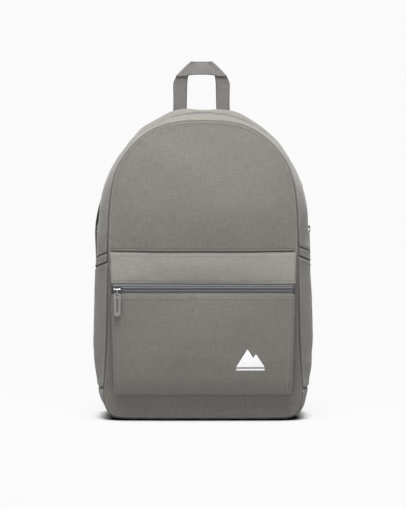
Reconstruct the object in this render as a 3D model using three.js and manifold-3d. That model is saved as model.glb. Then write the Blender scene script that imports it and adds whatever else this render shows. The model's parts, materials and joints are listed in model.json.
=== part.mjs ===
// Daypack: a soft 24-litre backpack with an arched main zip, a zipped front pocket,
// a padded back, two shoulder straps with ladder-lock adjusters and a webbing grab handle.
// Millimetres, +Z up, -Y is the front of the bag, +X is the viewer's right from the front.
// Origin: centre of the overall box in X and Y, on the resting plane in Z.
import * as THREE from "three";

// ---------------------------------------------------------------- driving dimensions
const FABRIC = 2.2; // outer fabric, coating and lining, as one sheet
const GAP = 0.35; // clearance between neighbouring sewn pieces
const ZIP_CENTRE_Z = 290; // centre of the circle that the main zip follows
const ZIP_R = 148.4; // radius of that circle
const ZIP_Y = -12; // plane of the main zip
const ZIP_END_DEG = 101.2; // the zip runs this far each way from the top
const PARK_DEG = 96; // the main sliders wait here
const FOLD_Z = 285; // the front flap folds on this level
const HINGE_Y = -72; // fold axis of the flap, just in front of the panel
const BAND_TOP_Z = 250; // sewn band under each end of the zip, at the front seam
const BAND_HEIGHT = 13.5;
const BAND_DROP = 12; // the band runs downhill towards the back by this much
const LEFT_DROP = 9; // and the left one sits this much lower
const BASE_TOP_Z = 46; // seam between side panels and bottom panel
const SIDE_FULL_Y = -32; // depth at which the sides are fullest
const TOP_FULL_Y = 14; // depth at which the top is highest
const BACK_Y = 58; // front face of the back panel
const BACK_THICK = 12; // foam back panel
const POCKET_TOP_Z = 242;
const POCKET_BOTTOM_Z = 39;
const POCKET_ZIP_Z = 191;
const POCKET_ZIP_Y = -87.5; // outer face of the pocket zip tape
const POCKET_ZIP_HALF = 128.3;
const SLIDER_X = -122.5; // pocket slider at its closed end
const MAIN_PULL_LEAN = 0.14; // radians outward from the zip, so the pulls clear the side panels
const POCKET_PULL_LEAN = 0.1;
const HANDLE_Y = 61;
const WEB_25 = 25; // webbing width
const SHIFT_Y = -20.8; // puts the overall box centre on the origin

// ---------------------------------------------------------------- materials
const mat = (r, g, b, rough, metal = 0) =>
  new THREE.MeshStandardMaterial({
    color: new THREE.Color(r, g, b),
    roughness: rough,
    metalness: metal,
  });
const canvas = mat(0.27, 0.255, 0.235, 0.92);
const canvasDark = mat(0.2, 0.19, 0.175, 0.92);
const lining = mat(0.16, 0.155, 0.15, 0.7);
const mesh3d = mat(0.012, 0.012, 0.013, 0.95);
const tape = mat(0.12, 0.115, 0.125, 0.8);
const metal = mat(0.42, 0.42, 0.41, 0.35, 1);
const rubber = mat(0.25, 0.24, 0.225, 0.6);
const plastic = mat(0.015, 0.015, 0.016, 0.45);
const webbing = mat(0.21, 0.2, 0.19, 0.85);
const print = mat(0.85, 0.85, 0.86, 0.6);

const root = new THREE.Group();
const bag = new THREE.Group();
bag.position.y = SHIFT_Y;
root.add(bag);
function add(name, geometry, material, parent = bag) {
  const m = new THREE.Mesh(geometry, material);
  m.name = name;
  parent.add(m);
  return m;
}

// ---------------------------------------------------------------- solid builders
// A closed solid from two matching grids of points, outer and inner, [row][column].
function sheetSolid(outer, inner) {
  const rows = outer.length,
    cols = outer[0].length;
  const pos = [];
  for (const grid of [outer, inner])
    for (const row of grid) for (const p of row) pos.push(p.x, p.y, p.z);
  const id = (k, i, j) => k * rows * cols + i * cols + j;
  const idx = [];
  const quad = (a, b, c, d) => idx.push(a, b, c, a, c, d);
  for (let i = 0; i < rows - 1; i++)
    for (let j = 0; j < cols - 1; j++) {
      quad(id(0, i, j), id(0, i, j + 1), id(0, i + 1, j + 1), id(0, i + 1, j));
      quad(id(1, i, j), id(1, i + 1, j), id(1, i + 1, j + 1), id(1, i, j + 1));
    }
  for (let j = 0; j < cols - 1; j++) {
    quad(id(0, 0, j), id(1, 0, j), id(1, 0, j + 1), id(0, 0, j + 1));
    quad(id(0, rows - 1, j + 1), id(1, rows - 1, j + 1), id(1, rows - 1, j), id(0, rows - 1, j));
  }
  for (let i = 0; i < rows - 1; i++) {
    quad(id(0, i + 1, 0), id(1, i + 1, 0), id(1, i, 0), id(0, i, 0));
    quad(id(0, i, cols - 1), id(1, i, cols - 1), id(1, i + 1, cols - 1), id(0, i + 1, cols - 1));
  }
  return outward(pos, idx);
}
// A closed solid from a list of sections, each the same polygon of points in order.
function loftSolid(sections) {
  const n = sections[0].length,
    pos = [],
    idx = [];
  for (const s of sections) for (const p of s) pos.push(p.x, p.y, p.z);
  for (let i = 0; i < sections.length - 1; i++)
    for (let j = 0; j < n; j++) {
      const a = i * n + j,
        b = i * n + ((j + 1) % n),
        c = a + n,
        d = b + n;
      idx.push(a, b, d, a, d, c);
    }
  const flat = sections[0];
  const e1 = flat[1].clone().sub(flat[0]).normalize();
  let nn = new THREE.Vector3();
  for (let j = 1; j < n - 1; j++)
    nn.add(
      flat[j].clone().sub(flat[0]).cross(flat[j + 1].clone().sub(flat[0])),
    );
  nn.normalize();
  const e2 = nn.clone().cross(e1);
  const contour = flat.map(
    (p) =>
      new THREE.Vector2(p.clone().sub(flat[0]).dot(e1), p.clone().sub(flat[0]).dot(e2)),
  );
  const caps = THREE.ShapeUtils.triangulateShape(contour, []);
  const last = (sections.length - 1) * n;
  for (const [a, b, c] of caps) {
    idx.push(a, c, b);
    idx.push(last + a, last + b, last + c);
  }
  return outward(pos, idx);
}
// Geometry with its faces turned out.
function outward(pos, idx) {
  let v = 0;
  const at = (i) => new THREE.Vector3(pos[3 * i], pos[3 * i + 1], pos[3 * i + 2]);
  for (let i = 0; i < idx.length; i += 3)
    v += at(idx[i]).dot(at(idx[i + 1]).cross(at(idx[i + 2])));
  if (v < 0)
    for (let i = 0; i < idx.length; i += 3) [idx[i + 1], idx[i + 2]] = [idx[i + 2], idx[i + 1]];
  const g = new THREE.BufferGeometry();
  g.setAttribute("position", new THREE.Float32BufferAttribute(pos, 3));
  g.setIndex(idx);
  g.computeVertexNormals();
  return g;
}
const V = (x, y, z) => new THREE.Vector3(x, y, z);
const clamp01 = (t) => Math.min(1, Math.max(0, t));
const smooth = (t) => ((t = clamp01(t)), t * t * (3 - 2 * t));
const range = (a, b, n) => Array.from({ length: n + 1 }, (_, i) => a + ((b - a) * i) / n);

// ---------------------------------------------------------------- outlines of the bag
// Half outlines, [half width, height], from the top centre down to the bottom centre.
const FRONT_SEAM = [
  [0, 430], [14, 429.9], [28, 429.5], [50.5, 425.9], [61, 422.4], [72, 417.8], [83.5, 411],
  [94.5, 401.8], [105.4, 390.3], [114, 379], [120, 370], [124.5, 359.3], [128, 348.2],
  [130.6, 336], [132.6, 322.8], [134, 309.5], [134.8, 300], [136, 270], [136.5, 247],
  [136.8, 200], [137, 158], [137.8, 110], [139.5, 80], [141.5, 58], [143, 40], [142.5, 28],
  [139, 15], [132, 7], [122, 4], [100, 3], [50, 2.5], [0, 2.5],
];
const CROWN = [
  [0, 443], [24, 441.8], [46, 438], [60, 432.8], [71, 427.2], [91, 413], [105.5, 399],
  [116.5, 385], [125, 371], [132, 356.5], [138, 341.5], [142.5, 328], [146, 313],
  [148.7, 299], [150.3, 285], [151.8, 270], [153.2, 256], [154.6, 242], [156.8, 213],
  [158.2, 184], [159.2, 155], [159.5, 115], [158.3, 84], [157, 70], [154.5, 54],
  [150.5, 38], [145.5, 22], [138, 9], [128, 2], [118, 0], [60, 0], [0, 0],
];
// Distance from (ox, oz) along (dx, dz) to a half outline.
function cast(outline, ox, oz, dx, dz) {
  let best = Infinity;
  for (let i = 0; i < outline.length - 1; i++) {
    const [ax, az] = outline[i],
      [bx, bz] = outline[i + 1];
    const ex = bx - ax,
      ez = bz - az,
      det = dx * ez - dz * ex;
    if (Math.abs(det) < 1e-9) continue;
    const t = ((ax - ox) * ez - (az - oz) * ex) / det,
      u = ((ax - ox) * dz - (az - oz) * dx) / det;
    if (t > 1e-6 && u >= -1e-6 && u <= 1 + 1e-6) best = Math.min(best, t);
  }
  return best;
}
const frontY = (z) => -66 + 10 * (z / 430) ** 2; // the front panel leans back a little

// Stations round the bag. Each is a ray across the outlines: polar over the arch,
// level down the sides, polar round the bottom corners, plumb along the base.
function station(kind, value, side) {
  let ox = 0, oz = ZIP_CENTRE_Z, dx, dz;
  if (kind === "arch") (dx = Math.sin(value)), (dz = Math.cos(value));
  if (kind === "side") (oz = value), (dx = 1), (dz = 0);
  if (kind === "corner") (ox = 100), (oz = BASE_TOP_Z), (dx = Math.cos(value)), (dz = -Math.sin(value));
  if (kind === "base") (ox = value), (oz = BASE_TOP_Z), (dx = 0), (dz = -1);
  const rf = cast(FRONT_SEAM, ox, oz, dx, dz),
    rg = cast(CROWN, ox, oz, dx, dz);
  const turn = kind === "arch" ? smooth((value - 0.52) / 0.6) : 1;
  const down = kind === "corner" ? smooth(value / (Math.PI / 2)) : kind === "base" ? 1 : 0;
  const r1 = rf + (rg - rf) * (0.45 + 0.55 * turn);
  const r3 = rg - 3 * turn * (1 - down);
  let rm = r1 + (r3 - r1) * 0.45;
  if (kind === "arch") rm = ZIP_R;
  if (kind === "side") {
    const circle = Math.sqrt(Math.max(0, ZIP_R ** 2 - (ZIP_CENTRE_Z - Math.max(value, 262)) ** 2));
    rm = circle + (rm - circle) * smooth((262 - value) / 42);
  }
  const rb = rg - 7 * (1 - down);
  const yf = frontY(oz + dz * rf);
  return { ox, oz, dx, dz, side, knots: [[yf, rf], [SIDE_FULL_Y, r1], [ZIP_Y, rm], [TOP_FULL_Y, r3], [BACK_Y, rb]] };
}
// Monotone cubic through a station's knots: radius at depth y, and its slope.
function radius(st, y) {
  const k = st.knots,
    n = k.length,
    h = [],
    d = [];
  for (let i = 0; i < n - 1; i++) (h[i] = k[i + 1][0] - k[i][0]), (d[i] = (k[i + 1][1] - k[i][1]) / h[i]);
  const m = [d[0] * 1.15];
  for (let i = 1; i < n - 1; i++)
    m[i] = d[i - 1] * d[i] <= 0 ? 0 : (2 * d[i - 1] * d[i]) / (d[i - 1] + d[i]);
  m[n - 1] = d[n - 2] * 1.5;
  let i = 0;
  while (i < n - 2 && y > k[i + 1][0]) i++;
  const t = (y - k[i][0]) / h[i];
  const f = (t) =>
    (2 * t ** 3 - 3 * t ** 2 + 1) * k[i][1] +
    (t ** 3 - 2 * t ** 2 + t) * h[i] * m[i] +
    (-2 * t ** 3 + 3 * t ** 2) * k[i + 1][1] +
    (t ** 3 - t ** 2) * h[i] * m[i + 1];
  return { r: f(t), slope: (f(t + 0.01) - f(t - 0.01)) / (0.02 * h[i]) };
}
function skin(st, y, depth = 0) {
  const { r, slope } = radius(st, y);
  const p = V(st.side * (st.ox + st.dx * r), y, st.oz + st.dz * r);
  const n = V(st.side * st.dx, -slope, st.dz).normalize();
  return p.addScaledVector(n, -depth);
}
// A strip of the gusset between two depths, over a run of stations.
function gussetStrip(stations, yFrom, yTo, steps, thick = FABRIC, sink = 0) {
  const outer = [], inner = [];
  for (const st of stations) {
    const a = typeof yFrom === "function" ? yFrom(st) : yFrom;
    const ys = range(a, yTo, steps);
    outer.push(ys.map((y) => skin(st, y, sink)));
    inner.push(ys.map((y) => skin(st, y, sink + thick)));
  }
  return sheetSolid(outer, inner);
}
const seamY = (st) => st.knots[0][0] + FABRIC + GAP;
const arch = (n, side) => range(0, Math.PI / 2, n).map((a) => station("arch", a, side));
// From level zLow on the left, over the top, to level zLow on the right.
function overTop(zLow, archSteps, sideSteps, lower = 0) {
  const run = (z, side) => [
    ...arch(archSteps, side),
    ...range(ZIP_CENTRE_Z, z, sideSteps).slice(1).map((z) => station("side", z, side)),
  ];
  return [...run(zLow - lower, -1).slice(1).reverse(), ...run(zLow, 1)];
}
// How far a seam that runs downhill has dropped at depth y.
const drop = (y) => BAND_DROP * clamp01((y + 62) / 34);
// A piece of the side between two levels, each a function of depth.
function sidePiece(zTop, zBottom, yTo, rows, cols, side) {
  const outer = [], inner = [];
  const front = seamY(station("side", zTop(-60), side));
  for (const t of range(0, 1, rows)) {
    const o = [], i = [];
    for (const y of range(front, yTo, cols)) {
      const st = station("side", zTop(y) + (zBottom(y) - zTop(y)) * t, side);
      o.push(skin(st, y, 0));
      i.push(skin(st, y, FABRIC));
    }
    outer.push(o);
    inner.push(i);
  }
  return sheetSolid(outer, inner);
}

// ---------------------------------------------------------------- front panel
const halfAt = (z) => cast(FRONT_SEAM, 0, z, 1, 0);
function panelY(x, z) {
  const u = Math.abs(x) / halfAt(z);
  const v = Math.abs(z - 212) / 220;
  return frontY(z) - 8 * (1 - Math.min(1, u) ** 2.6) * (1 - Math.min(1, v) ** 4);
}
function frontPanel(z0, z1, rows, cols) {
  const outer = [], inner = [];
  for (const z of range(z0, z1, rows)) {
    const w = halfAt(z) - 0.2;
    const xs = range(-w, w, cols);
    outer.push(xs.map((x) => V(x, panelY(x, z), z)));
    inner.push(xs.map((x) => V(x, panelY(x, z) + FABRIC, z)));
  }
  return sheetSolid(outer, inner);
}
add("front_lower_panel", frontPanel(3.2, FOLD_Z - 0.2, 12, 10), canvas);
const topRows = [FOLD_Z + 0.2, 296, 312, 328, 344, 358, 371, 384, 395, 405, 413, 420, 425.5, 429.4];
{
  const outer = [], inner = [];
  for (const z of topRows) {
    const w = halfAt(z) - 0.2, xs = range(-w, w, 10);
    outer.push(xs.map((x) => V(x, panelY(x, z), z)));
    inner.push(xs.map((x) => V(x, panelY(x, z) + FABRIC, z)));
  }
  add("front_upper_panel", sheetSolid(outer, inner), canvas);
}

// ---------------------------------------------------------------- gusset
add("front_gusset_strip", gussetStrip(overTop(FOLD_Z + 0.2, 15, 1), seamY, ZIP_Y - 5.9, 2), canvas);
add("rear_gusset", gussetStrip(overTop(BAND_TOP_Z - BAND_DROP + GAP, 15, 3, LEFT_DROP), ZIP_Y + 5.9, BACK_Y - GAP, 4), canvas);
for (const [side, word] of [[-1, "left"], [1, "right"]]) {
  const low = side < 0 ? LEFT_DROP : 0;
  const top = (y) => BAND_TOP_Z - drop(y) - low;
  const base = () => BASE_TOP_Z + GAP;
  add(`front_gusset_end_${word}`, sidePiece(() => FOLD_Z - 0.2, (y) => top(y) + GAP, ZIP_Y - 5.9, 3, 3, side), canvas);
  add(`zip_end_band_${word}`, sidePiece(top, (y) => top(y) - BAND_HEIGHT + GAP, BACK_Y - GAP, 1, 7, side), canvas);
  add(`side_panel_${word}`, sidePiece((y) => top(y) - BAND_HEIGHT, base, BACK_Y - GAP, 9, 7, side), canvas);
}
{
  const right = [
    ...range(BASE_TOP_Z, BASE_TOP_Z, 0).map(() => station("corner", 0, 1)),
    ...range(0, Math.PI / 2, 6).slice(1).map((a) => station("corner", a, 1)),
    station("base", 50, 1),
    station("base", 0.001, 1),
  ];
  const left = right.slice(0, -1).reverse().map((s) => ({ ...s, side: -1 }));
  add("bottom_panel", gussetStrip([...right, ...left], seamY, BACK_Y - GAP, 6, 2.6), canvas);
}

// ---------------------------------------------------------------- main zip
// Sections are swept round the zip's own circle: (along, out) is across the tape and outward.
function zipPoint(phi, along, out) {
  const r = ZIP_R + out;
  return V(r * Math.sin(phi), ZIP_Y + along, ZIP_CENTRE_Z + r * Math.cos(phi));
}
const rad = THREE.MathUtils.degToRad;
function zipSweep(profile, deg0, deg1, steps) {
  return loftSolid(range(rad(deg0), rad(deg1), steps).map((f) => profile.map(([a, o]) => zipPoint(f, a, o))));
}
const mirrorA = (p) => p.map(([a, o]) => [-a, o]).reverse();
const half = [[0.2, -0.3], [5.5, -0.3], [5.5, -1.3], [2.4, -1.3], [2.4, -2.9], [0.2, -2.9]];
const foldDeg = 90 + THREE.MathUtils.radToDeg(Math.asin((ZIP_CENTRE_Z - FOLD_Z) / ZIP_R));
add("main_zip_rear_half", zipSweep(half, -ZIP_END_DEG, ZIP_END_DEG, 40), tape);
add("main_zip_front_half", zipSweep(mirrorA(half), -foldDeg + 0.3, foldDeg - 0.3, 36), tape);
add("main_zip_end_right", zipSweep(mirrorA(half), foldDeg + 0.3, ZIP_END_DEG, 3), tape);
add("main_zip_end_left", zipSweep(mirrorA(half), -ZIP_END_DEG, -foldDeg - 0.3, 3), tape);

// ---------------------------------------------------------------- sliders and pulls
// Slider in its own frame: x across the tape, y outward, z along the travel.
// Top wing with a tapered nose, two ears, and a round bar that the link hangs on.
function extrude(shape, depth, curveSegments = 6) {
  return new THREE.ExtrudeGeometry(shape, { depth, bevelEnabled: false, curveSegments });
}
function poly(points) {
  return new THREE.Shape(points.map(([x, y]) => new THREE.Vector2(x, y)));
}
function stadium(cx, cy, w, h, r, hole = false) {
  const s = hole ? new THREE.Path() : new THREE.Shape();
  const x0 = cx - w / 2, x1 = cx + w / 2, y0 = cy - h / 2, y1 = cy + h / 2;
  s.moveTo(x0 + r, y0);
  s.lineTo(x1 - r, y0);
  s.absarc(x1 - r, y0 + r, r, -Math.PI / 2, 0, false);
  s.lineTo(x1, y1 - r);
  s.absarc(x1 - r, y1 - r, r, 0, Math.PI / 2, false);
  s.lineTo(x0 + r, y1);
  s.absarc(x0 + r, y1 - r, r, Math.PI / 2, Math.PI, false);
  s.lineTo(x0, y0 + r);
  s.absarc(x0 + r, y0 + r, r, Math.PI, 1.5 * Math.PI, false);
  return s;
}
import Module from "manifold-3d";
import { mergeVertices } from "three/addons/utils/BufferGeometryUtils.js";
const wasm = await Module();
wasm.setup();
function solid(geometry) {
  const g = (geometry.index ? geometry.toNonIndexed() : geometry.clone());
  for (const k of Object.keys(g.attributes)) if (k !== "position") g.deleteAttribute(k);
  const m = mergeVertices(g, 1e-4);
  return new wasm.Manifold(
    new wasm.Mesh({ numProp: 3, vertProperties: m.attributes.position.array, triVerts: new Uint32Array(m.index.array) }),
  );
}
function fromSolid(s) {
  const m = s.getMesh(), g = new THREE.BufferGeometry();
  const v = new Float32Array(m.numVert * 3);
  for (let i = 0; i < m.numVert; i++) v.set(m.vertProperties.subarray(i * m.numProp, i * m.numProp + 3), i * 3);
  g.setAttribute("position", new THREE.BufferAttribute(v, 3));
  g.setIndex(new THREE.BufferAttribute(new Uint32Array(m.triVerts), 1));
  g.computeVertexNormals();
  return g;
}
const placed = (g, x, y, z, rx = 0, ry = 0, rz = 0) => {
  const c = g.clone();
  c.applyMatrix4(new THREE.Matrix4().makeRotationFromEuler(new THREE.Euler(rx, ry, rz)));
  c.translate(x, y, z);
  return c;
};
const BAR_OUT = 4.2; // height of the bar's axis above the tape
const BAR_R = 0.7;
const LINK_R = 0.6; // wire radius of the link
// barAlong: the bar runs along the travel, as on the pocket; otherwise across it.
function sliderGeometry(barAlong) {
  const wing = poly([[-4.7, -6.5], [4.7, -6.5], [4.7, 1.5], [3, 6.8], [-3, 6.8], [-4.7, 1.5]]);
  let s = solid(placed(extrude(wing, 1.2), 0, 0, 0, Math.PI / 2));
  // rotated +90 deg about x, the extrusion runs to -y: bring it to 0.3 .. 1.5 outward
  s = s.translate([0, 1.5, 0]);
  const ear = poly([[-1.6, 1.3], [1.6, 1.3], [1.2, BAR_OUT + 1], [-1.2, BAR_OUT + 1]]);
  const w = barAlong ? 4.2 : 3.4;
  for (const k of [-1, 1]) {
    const g = extrude(ear, 1.4);
    g.translate(0, 0, -0.7);
    const e = barAlong ? placed(g, 0, 0, k * w) : placed(g, k * w, 0, 0, 0, Math.PI / 2);
    s = s.add(solid(e));
  }
  const bar = new THREE.CylinderGeometry(BAR_R, BAR_R, 2 * w, 8);
  s = s.add(solid(barAlong ? placed(bar, 0, BAR_OUT, 0, Math.PI / 2) : placed(bar, 0, BAR_OUT, 0, 0, 0, Math.PI / 2)));
  return fromSolid(s);
}
// Link and tab in the pull's frame: origin on the bar's axis, x along the bar, -z hangs, y outward.
const LINK_LENGTH = 6.2;
function linkGeometry() {
  const outer = stadium(0, -LINK_LENGTH / 2, 2 * (BAR_R + 0.35 + 2 * LINK_R), LINK_LENGTH + 2 * (BAR_R + 0.35 + 2 * LINK_R), BAR_R + 0.35 + 2 * LINK_R - 0.01);
  outer.holes.push(stadium(0, -LINK_LENGTH / 2, 2 * (BAR_R + 0.35), LINK_LENGTH + 2 * (BAR_R + 0.35), BAR_R + 0.35 - 0.01, true));
  const g = extrude(outer, 2 * LINK_R, 4);
  g.translate(0, 0, -LINK_R);
  // shape (x, y) -> (y, z), extrusion along x
  g.applyMatrix4(new THREE.Matrix4().makeBasis(V(0, 1, 0), V(0, 0, 1), V(1, 0, 0)));
  return g;
}
const TAB_TOP = -LINK_LENGTH + 1.0; // top edge of the tab under the bar
function tabGeometry() {
  const s = new THREE.Shape();
  const t = TAB_TOP, b = t - 33;
  s.moveTo(-3.2, t);
  s.lineTo(3.2, t);
  s.quadraticCurveTo(5.6, t - 1, 5.6, t - 4);
  s.lineTo(4.3, b + 3);
  s.quadraticCurveTo(4, b, 0, b);
  s.quadraticCurveTo(-4, b, -4.3, b + 3);
  s.lineTo(-5.6, t - 4);
  s.quadraticCurveTo(-5.6, t - 1, -3.2, t);
  s.holes.push(stadium(0, t - 2.9, 2.4, 3.4, 1.19, true));
  const g = extrude(s, 2.0, 4);
  g.translate(0, 0, -1.0);
  // shape (x, y) -> (x, z), extrusion along -y then centred
  g.applyMatrix4(new THREE.Matrix4().makeBasis(V(1, 0, 0), V(0, 0, 1), V(0, -1, 0)));
  return g;
}
// A group whose local x, y, z axes lie along the given directions.
function frameGroup(origin, x, y, z) {
  const g = new THREE.Group();
  const m = new THREE.Matrix4().makeBasis(x, y, z).setPosition(origin);
  m.decompose(g.position, g.quaternion, g.scale);
  bag.add(g);
  return g;
}
// Main sliders, parked at the two lower ends of the zip.
for (const [side, word] of [[-1, "left"], [1, "right"]]) {
  const f = rad(PARK_DEG) * side;
  const out = V(Math.sin(f), 0, Math.cos(f));
  const travel = V(-side * Math.cos(f), 0, side * Math.sin(f)).normalize(); // towards the top
  const across = out.clone().cross(travel).normalize();
  const origin = zipPoint(f, 0, 0);
  const g = frameGroup(origin, across, out, travel);
  add(`main_slider_${word}`, sliderGeometry(false), metal, g);
  const p = frameGroup(origin.clone().addScaledVector(out, BAR_OUT), across, out, travel);
  const lean = new THREE.Group();
  lean.rotation.x = MAIN_PULL_LEAN;
  p.add(lean);
  add(`main_pull_link_${word}`, linkGeometry(), metal, lean);
  add(`main_pull_tab_${word}`, tabGeometry(), rubber, lean);
}

// ---------------------------------------------------------------- front pocket
// Face of the pocket: depth in front of the front panel's seam plane.
const pocketHalf = (z) => 127 + 6 * clamp01((z - POCKET_BOTTOM_Z) / (POCKET_TOP_Z - POCKET_BOTTOM_Z));
function pocketFace(z) {
  // outer face, before the rounding at the side edges
  const pts = [[39, -84.5], [46, -89.5], [60, -92.5], [90, -94], [120, -94], [150, -92], [180, -88.6], [184.5, -88], [197, -87.2], [210, -85.2], [225, -81], [236, -76.6], [242, -73.5]];
  if (z <= pts[0][0]) return pts[0][1];
  for (let i = 0; i < pts.length - 1; i++)
    if (z <= pts[i + 1][0]) {
      const t = (z - pts[i][0]) / (pts[i + 1][0] - pts[i][0]);
      return pts[i][1] + (pts[i + 1][1] - pts[i][1]) * t;
    }
  return pts[pts.length - 1][1];
}
// A cross-section of the pocket skin at height z: from the left foot on the front panel,
// round the side edge, across the face and back, as outer and inner rows.
function pocketRow(z, zIn = z) {
  const w = pocketHalf(z), face = pocketFace(z), r = 7;
  const foot = panelY(w, z) - GAP - 0.1;
  const rr = Math.min(r, Math.max(1.2, (foot - face) * 0.6));
  const one = (k, dz) => {
    // k = 0 outer, 1 inner
    const o = k * FABRIC, pts = [];
    const W = w - o, F = face + o, R = Math.max(0.5, rr - o * 0.6);
    pts.push(V(W, foot, dz));
    for (const a of [0, 0.5, 1]) {
      const t = (a * Math.PI) / 2;
      pts.push(V(W - R + R * Math.cos(t), F + R - R * Math.sin(t), dz));
    }
    pts.push(V(W * 0.5, F - 0.6 * (1 - k * 0), dz));
    const left = pts.slice().reverse().map((p) => V(-p.x, p.y, p.z));
    return [...pts, V(0, F - 1.0, dz), ...left];
  };
  return [one(0, z), one(1, zIn)];
}
{
  // lower panel: side walls and face from under the zip to the bottom edge, with a floor
  const zs = [POCKET_ZIP_Z - 6, 170, 150, 120, 90, 62, 49, 43];
  const outer = [], inner = [];
  zs.forEach((z) => {
    const [o, i] = pocketRow(z);
    outer.push(o);
    inner.push(i);
  });
  const last = zs.length - 1;
  // replace the last row by a closing floor: outer at the bottom edge, inner a sheet higher
  const [oB] = pocketRow(43);
  const footY = (x, z) => panelY(Math.min(Math.abs(x), pocketHalf(z)), z) - GAP - 0.1;
  outer.push(oB.map((p) => V(p.x * 0.985, Math.min(footY(p.x, 40), p.y + 3), 39.6)));
  inner[last] = pocketRow(43)[1].map((p) => V(p.x, p.y, 43.2));
  inner.push(oB.map((p) => V(p.x * 0.96, Math.min(footY(p.x, 43), p.y + 6), 42)));
  const fl = (z, k) => oB.map((p) => V(p.x * k, footY(p.x * k, z) - 0.15, z));
  outer.push(fl(39.4, 0.975));
  inner.push(fl(41.8, 0.955));
  add("pocket_lower_panel", sheetSolid(outer, inner), canvas);
}
{
  const zs = [POCKET_ZIP_Z + 6, 210, 225, 236, POCKET_TOP_Z];
  const outer = [], inner = [];
  zs.forEach((z, n) => {
    const [o, i] = pocketRow(z, z - (n === zs.length - 1 ? 0.6 : 0));
    outer.push(o);
    inner.push(i);
  });
  // top edge turns down onto the front panel
  const [oT] = pocketRow(POCKET_TOP_Z);
  const footY = (x, z) => panelY(x, z) - GAP - 0.1;
  outer.push(oT.map((p) => V(p.x * 0.99, Math.min(footY(p.x * 0.99, 243.4), Math.max(p.y + 0.5, footY(p.x * 0.99, 243.4) - 1.0)), 243.4)));
  inner.push(oT.map((p) => V(p.x * 0.97, Math.min(footY(p.x * 0.97, 241), Math.max(p.y + 2.5, footY(p.x * 0.97, 241) - 0.1)), 241)));
  add("pocket_upper_panel", sheetSolid(outer, inner), canvas);
}
// pocket zip: two tape halves with the coil on the inner side, straight along X
for (const [k, word] of [[1, "upper"], [-1, "lower"]]) {
  const p = half.map(([a, o]) => [k * a, o]);
  const sec = (x) => p.map(([a, o]) => V(x, POCKET_ZIP_Y - o - 0.3, POCKET_ZIP_Z + a));
  add(`pocket_zip_${word}_half`, loftSolid([sec(-POCKET_ZIP_HALF), sec(POCKET_ZIP_HALF)]), tape);
}
// small side tabs that close the pocket wall at each end of the zip
for (const [side, word] of [[-1, "left"], [1, "right"]]) {
  const w = pocketHalf(POCKET_ZIP_Z);
  const s = poly([[w - 2.8, panelY(w, 191) - 0.6], [w - 0.2, panelY(w, 191) - 0.6], [w - 0.2, -83.5], [w - 1.4, -86.9], [w - 2.8, -87.4]].map(([x, y]) => [side * x, y]));
  const g = extrude(s, 11.2);
  g.translate(0, 0, POCKET_ZIP_Z - 5.6);
  add(`pocket_zip_end_${word}`, g, canvas);
}
{
  const g = frameGroup(V(SLIDER_X, POCKET_ZIP_Y, POCKET_ZIP_Z), V(0, 0, 1), V(0, -1, 0), V(1, 0, 0));
  add("pocket_slider", sliderGeometry(true), metal, g);
  // hanging frame: x along the bar (+X), y outward (-Y), z up -> right-handed as x, y, z = (-X, -Y, Z)
  const p = frameGroup(V(SLIDER_X, POCKET_ZIP_Y - BAR_OUT, POCKET_ZIP_Z), V(-1, 0, 0), V(0, -1, 0), V(0, 0, 1));
  const lean = new THREE.Group();
  lean.rotation.x = POCKET_PULL_LEAN;
  p.add(lean);
  add("pocket_pull_link", linkGeometry(), metal, lean);
  add("pocket_pull_tab", tabGeometry(), rubber, lean);
}
// printed transfer on the pocket: two plain peaks over a line
{
  const s = poly([[-15, -9], [-15, -12], [15, -12], [15, -9], [17, -9], [6.5, 7], [3.4, 2.4], [-3.5, 13], [-17, -9]]);
  const g = extrude(s, 0.4);
  g.applyMatrix4(new THREE.Matrix4().makeBasis(V(1, 0, 0), V(0, 0, 1), V(0, -1, 0)));
  g.translate(70, -95.55, 86);
  add("pocket_transfer", g, print);
}

// ---------------------------------------------------------------- back panel and pads
function outlineShape(inset) {
  const pts = [];
  const sts = [
    ...range(0, Math.PI / 2, 14).map((a) => station("arch", a, 1)),
    ...range(ZIP_CENTRE_Z, BASE_TOP_Z, 7).slice(1).map((z) => station("side", z, 1)),
    ...range(0, Math.PI / 2, 6).slice(1).map((a) => station("corner", a, 1)),
  ];
  for (const st of sts) {
    const r = st.knots[4][1] - inset;
    pts.push([st.ox + st.dx * r, st.oz + st.dz * r]);
  }
  const left = pts.slice(1).reverse().map(([x, z]) => [-x, z]);
  return poly([...pts, ...left]);
}
const lay = new THREE.Matrix4().makeBasis(V(1, 0, 0), V(0, 0, 1), V(0, -1, 0));
{
  const g = extrude(outlineShape(0), BACK_THICK);
  g.applyMatrix4(lay);
  g.translate(0, BACK_Y + BACK_THICK, 0);
  add("back_panel", g, mesh3d);
}
const REAR_Y = BACK_Y + BACK_THICK; // 70
for (const [side, word] of [[-1, "left"], [1, "right"]]) {
  const g = extrude(stadium(side * 58, 205, 92, 300, 26), 5, 4);
  g.applyMatrix4(lay);
  g.translate(0, REAR_Y + GAP + 5, 0);
  add(`back_pad_${word}`, g, mesh3d);
}
{
  const g = extrude(poly([[-92, 372], [92, 372], [80, 410], [44, 424], [-44, 424], [-80, 410]]), 2);
  g.applyMatrix4(lay);
  g.translate(0, REAR_Y + GAP + 2, 0);
  add("strap_yoke", g, canvas);
}

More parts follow.
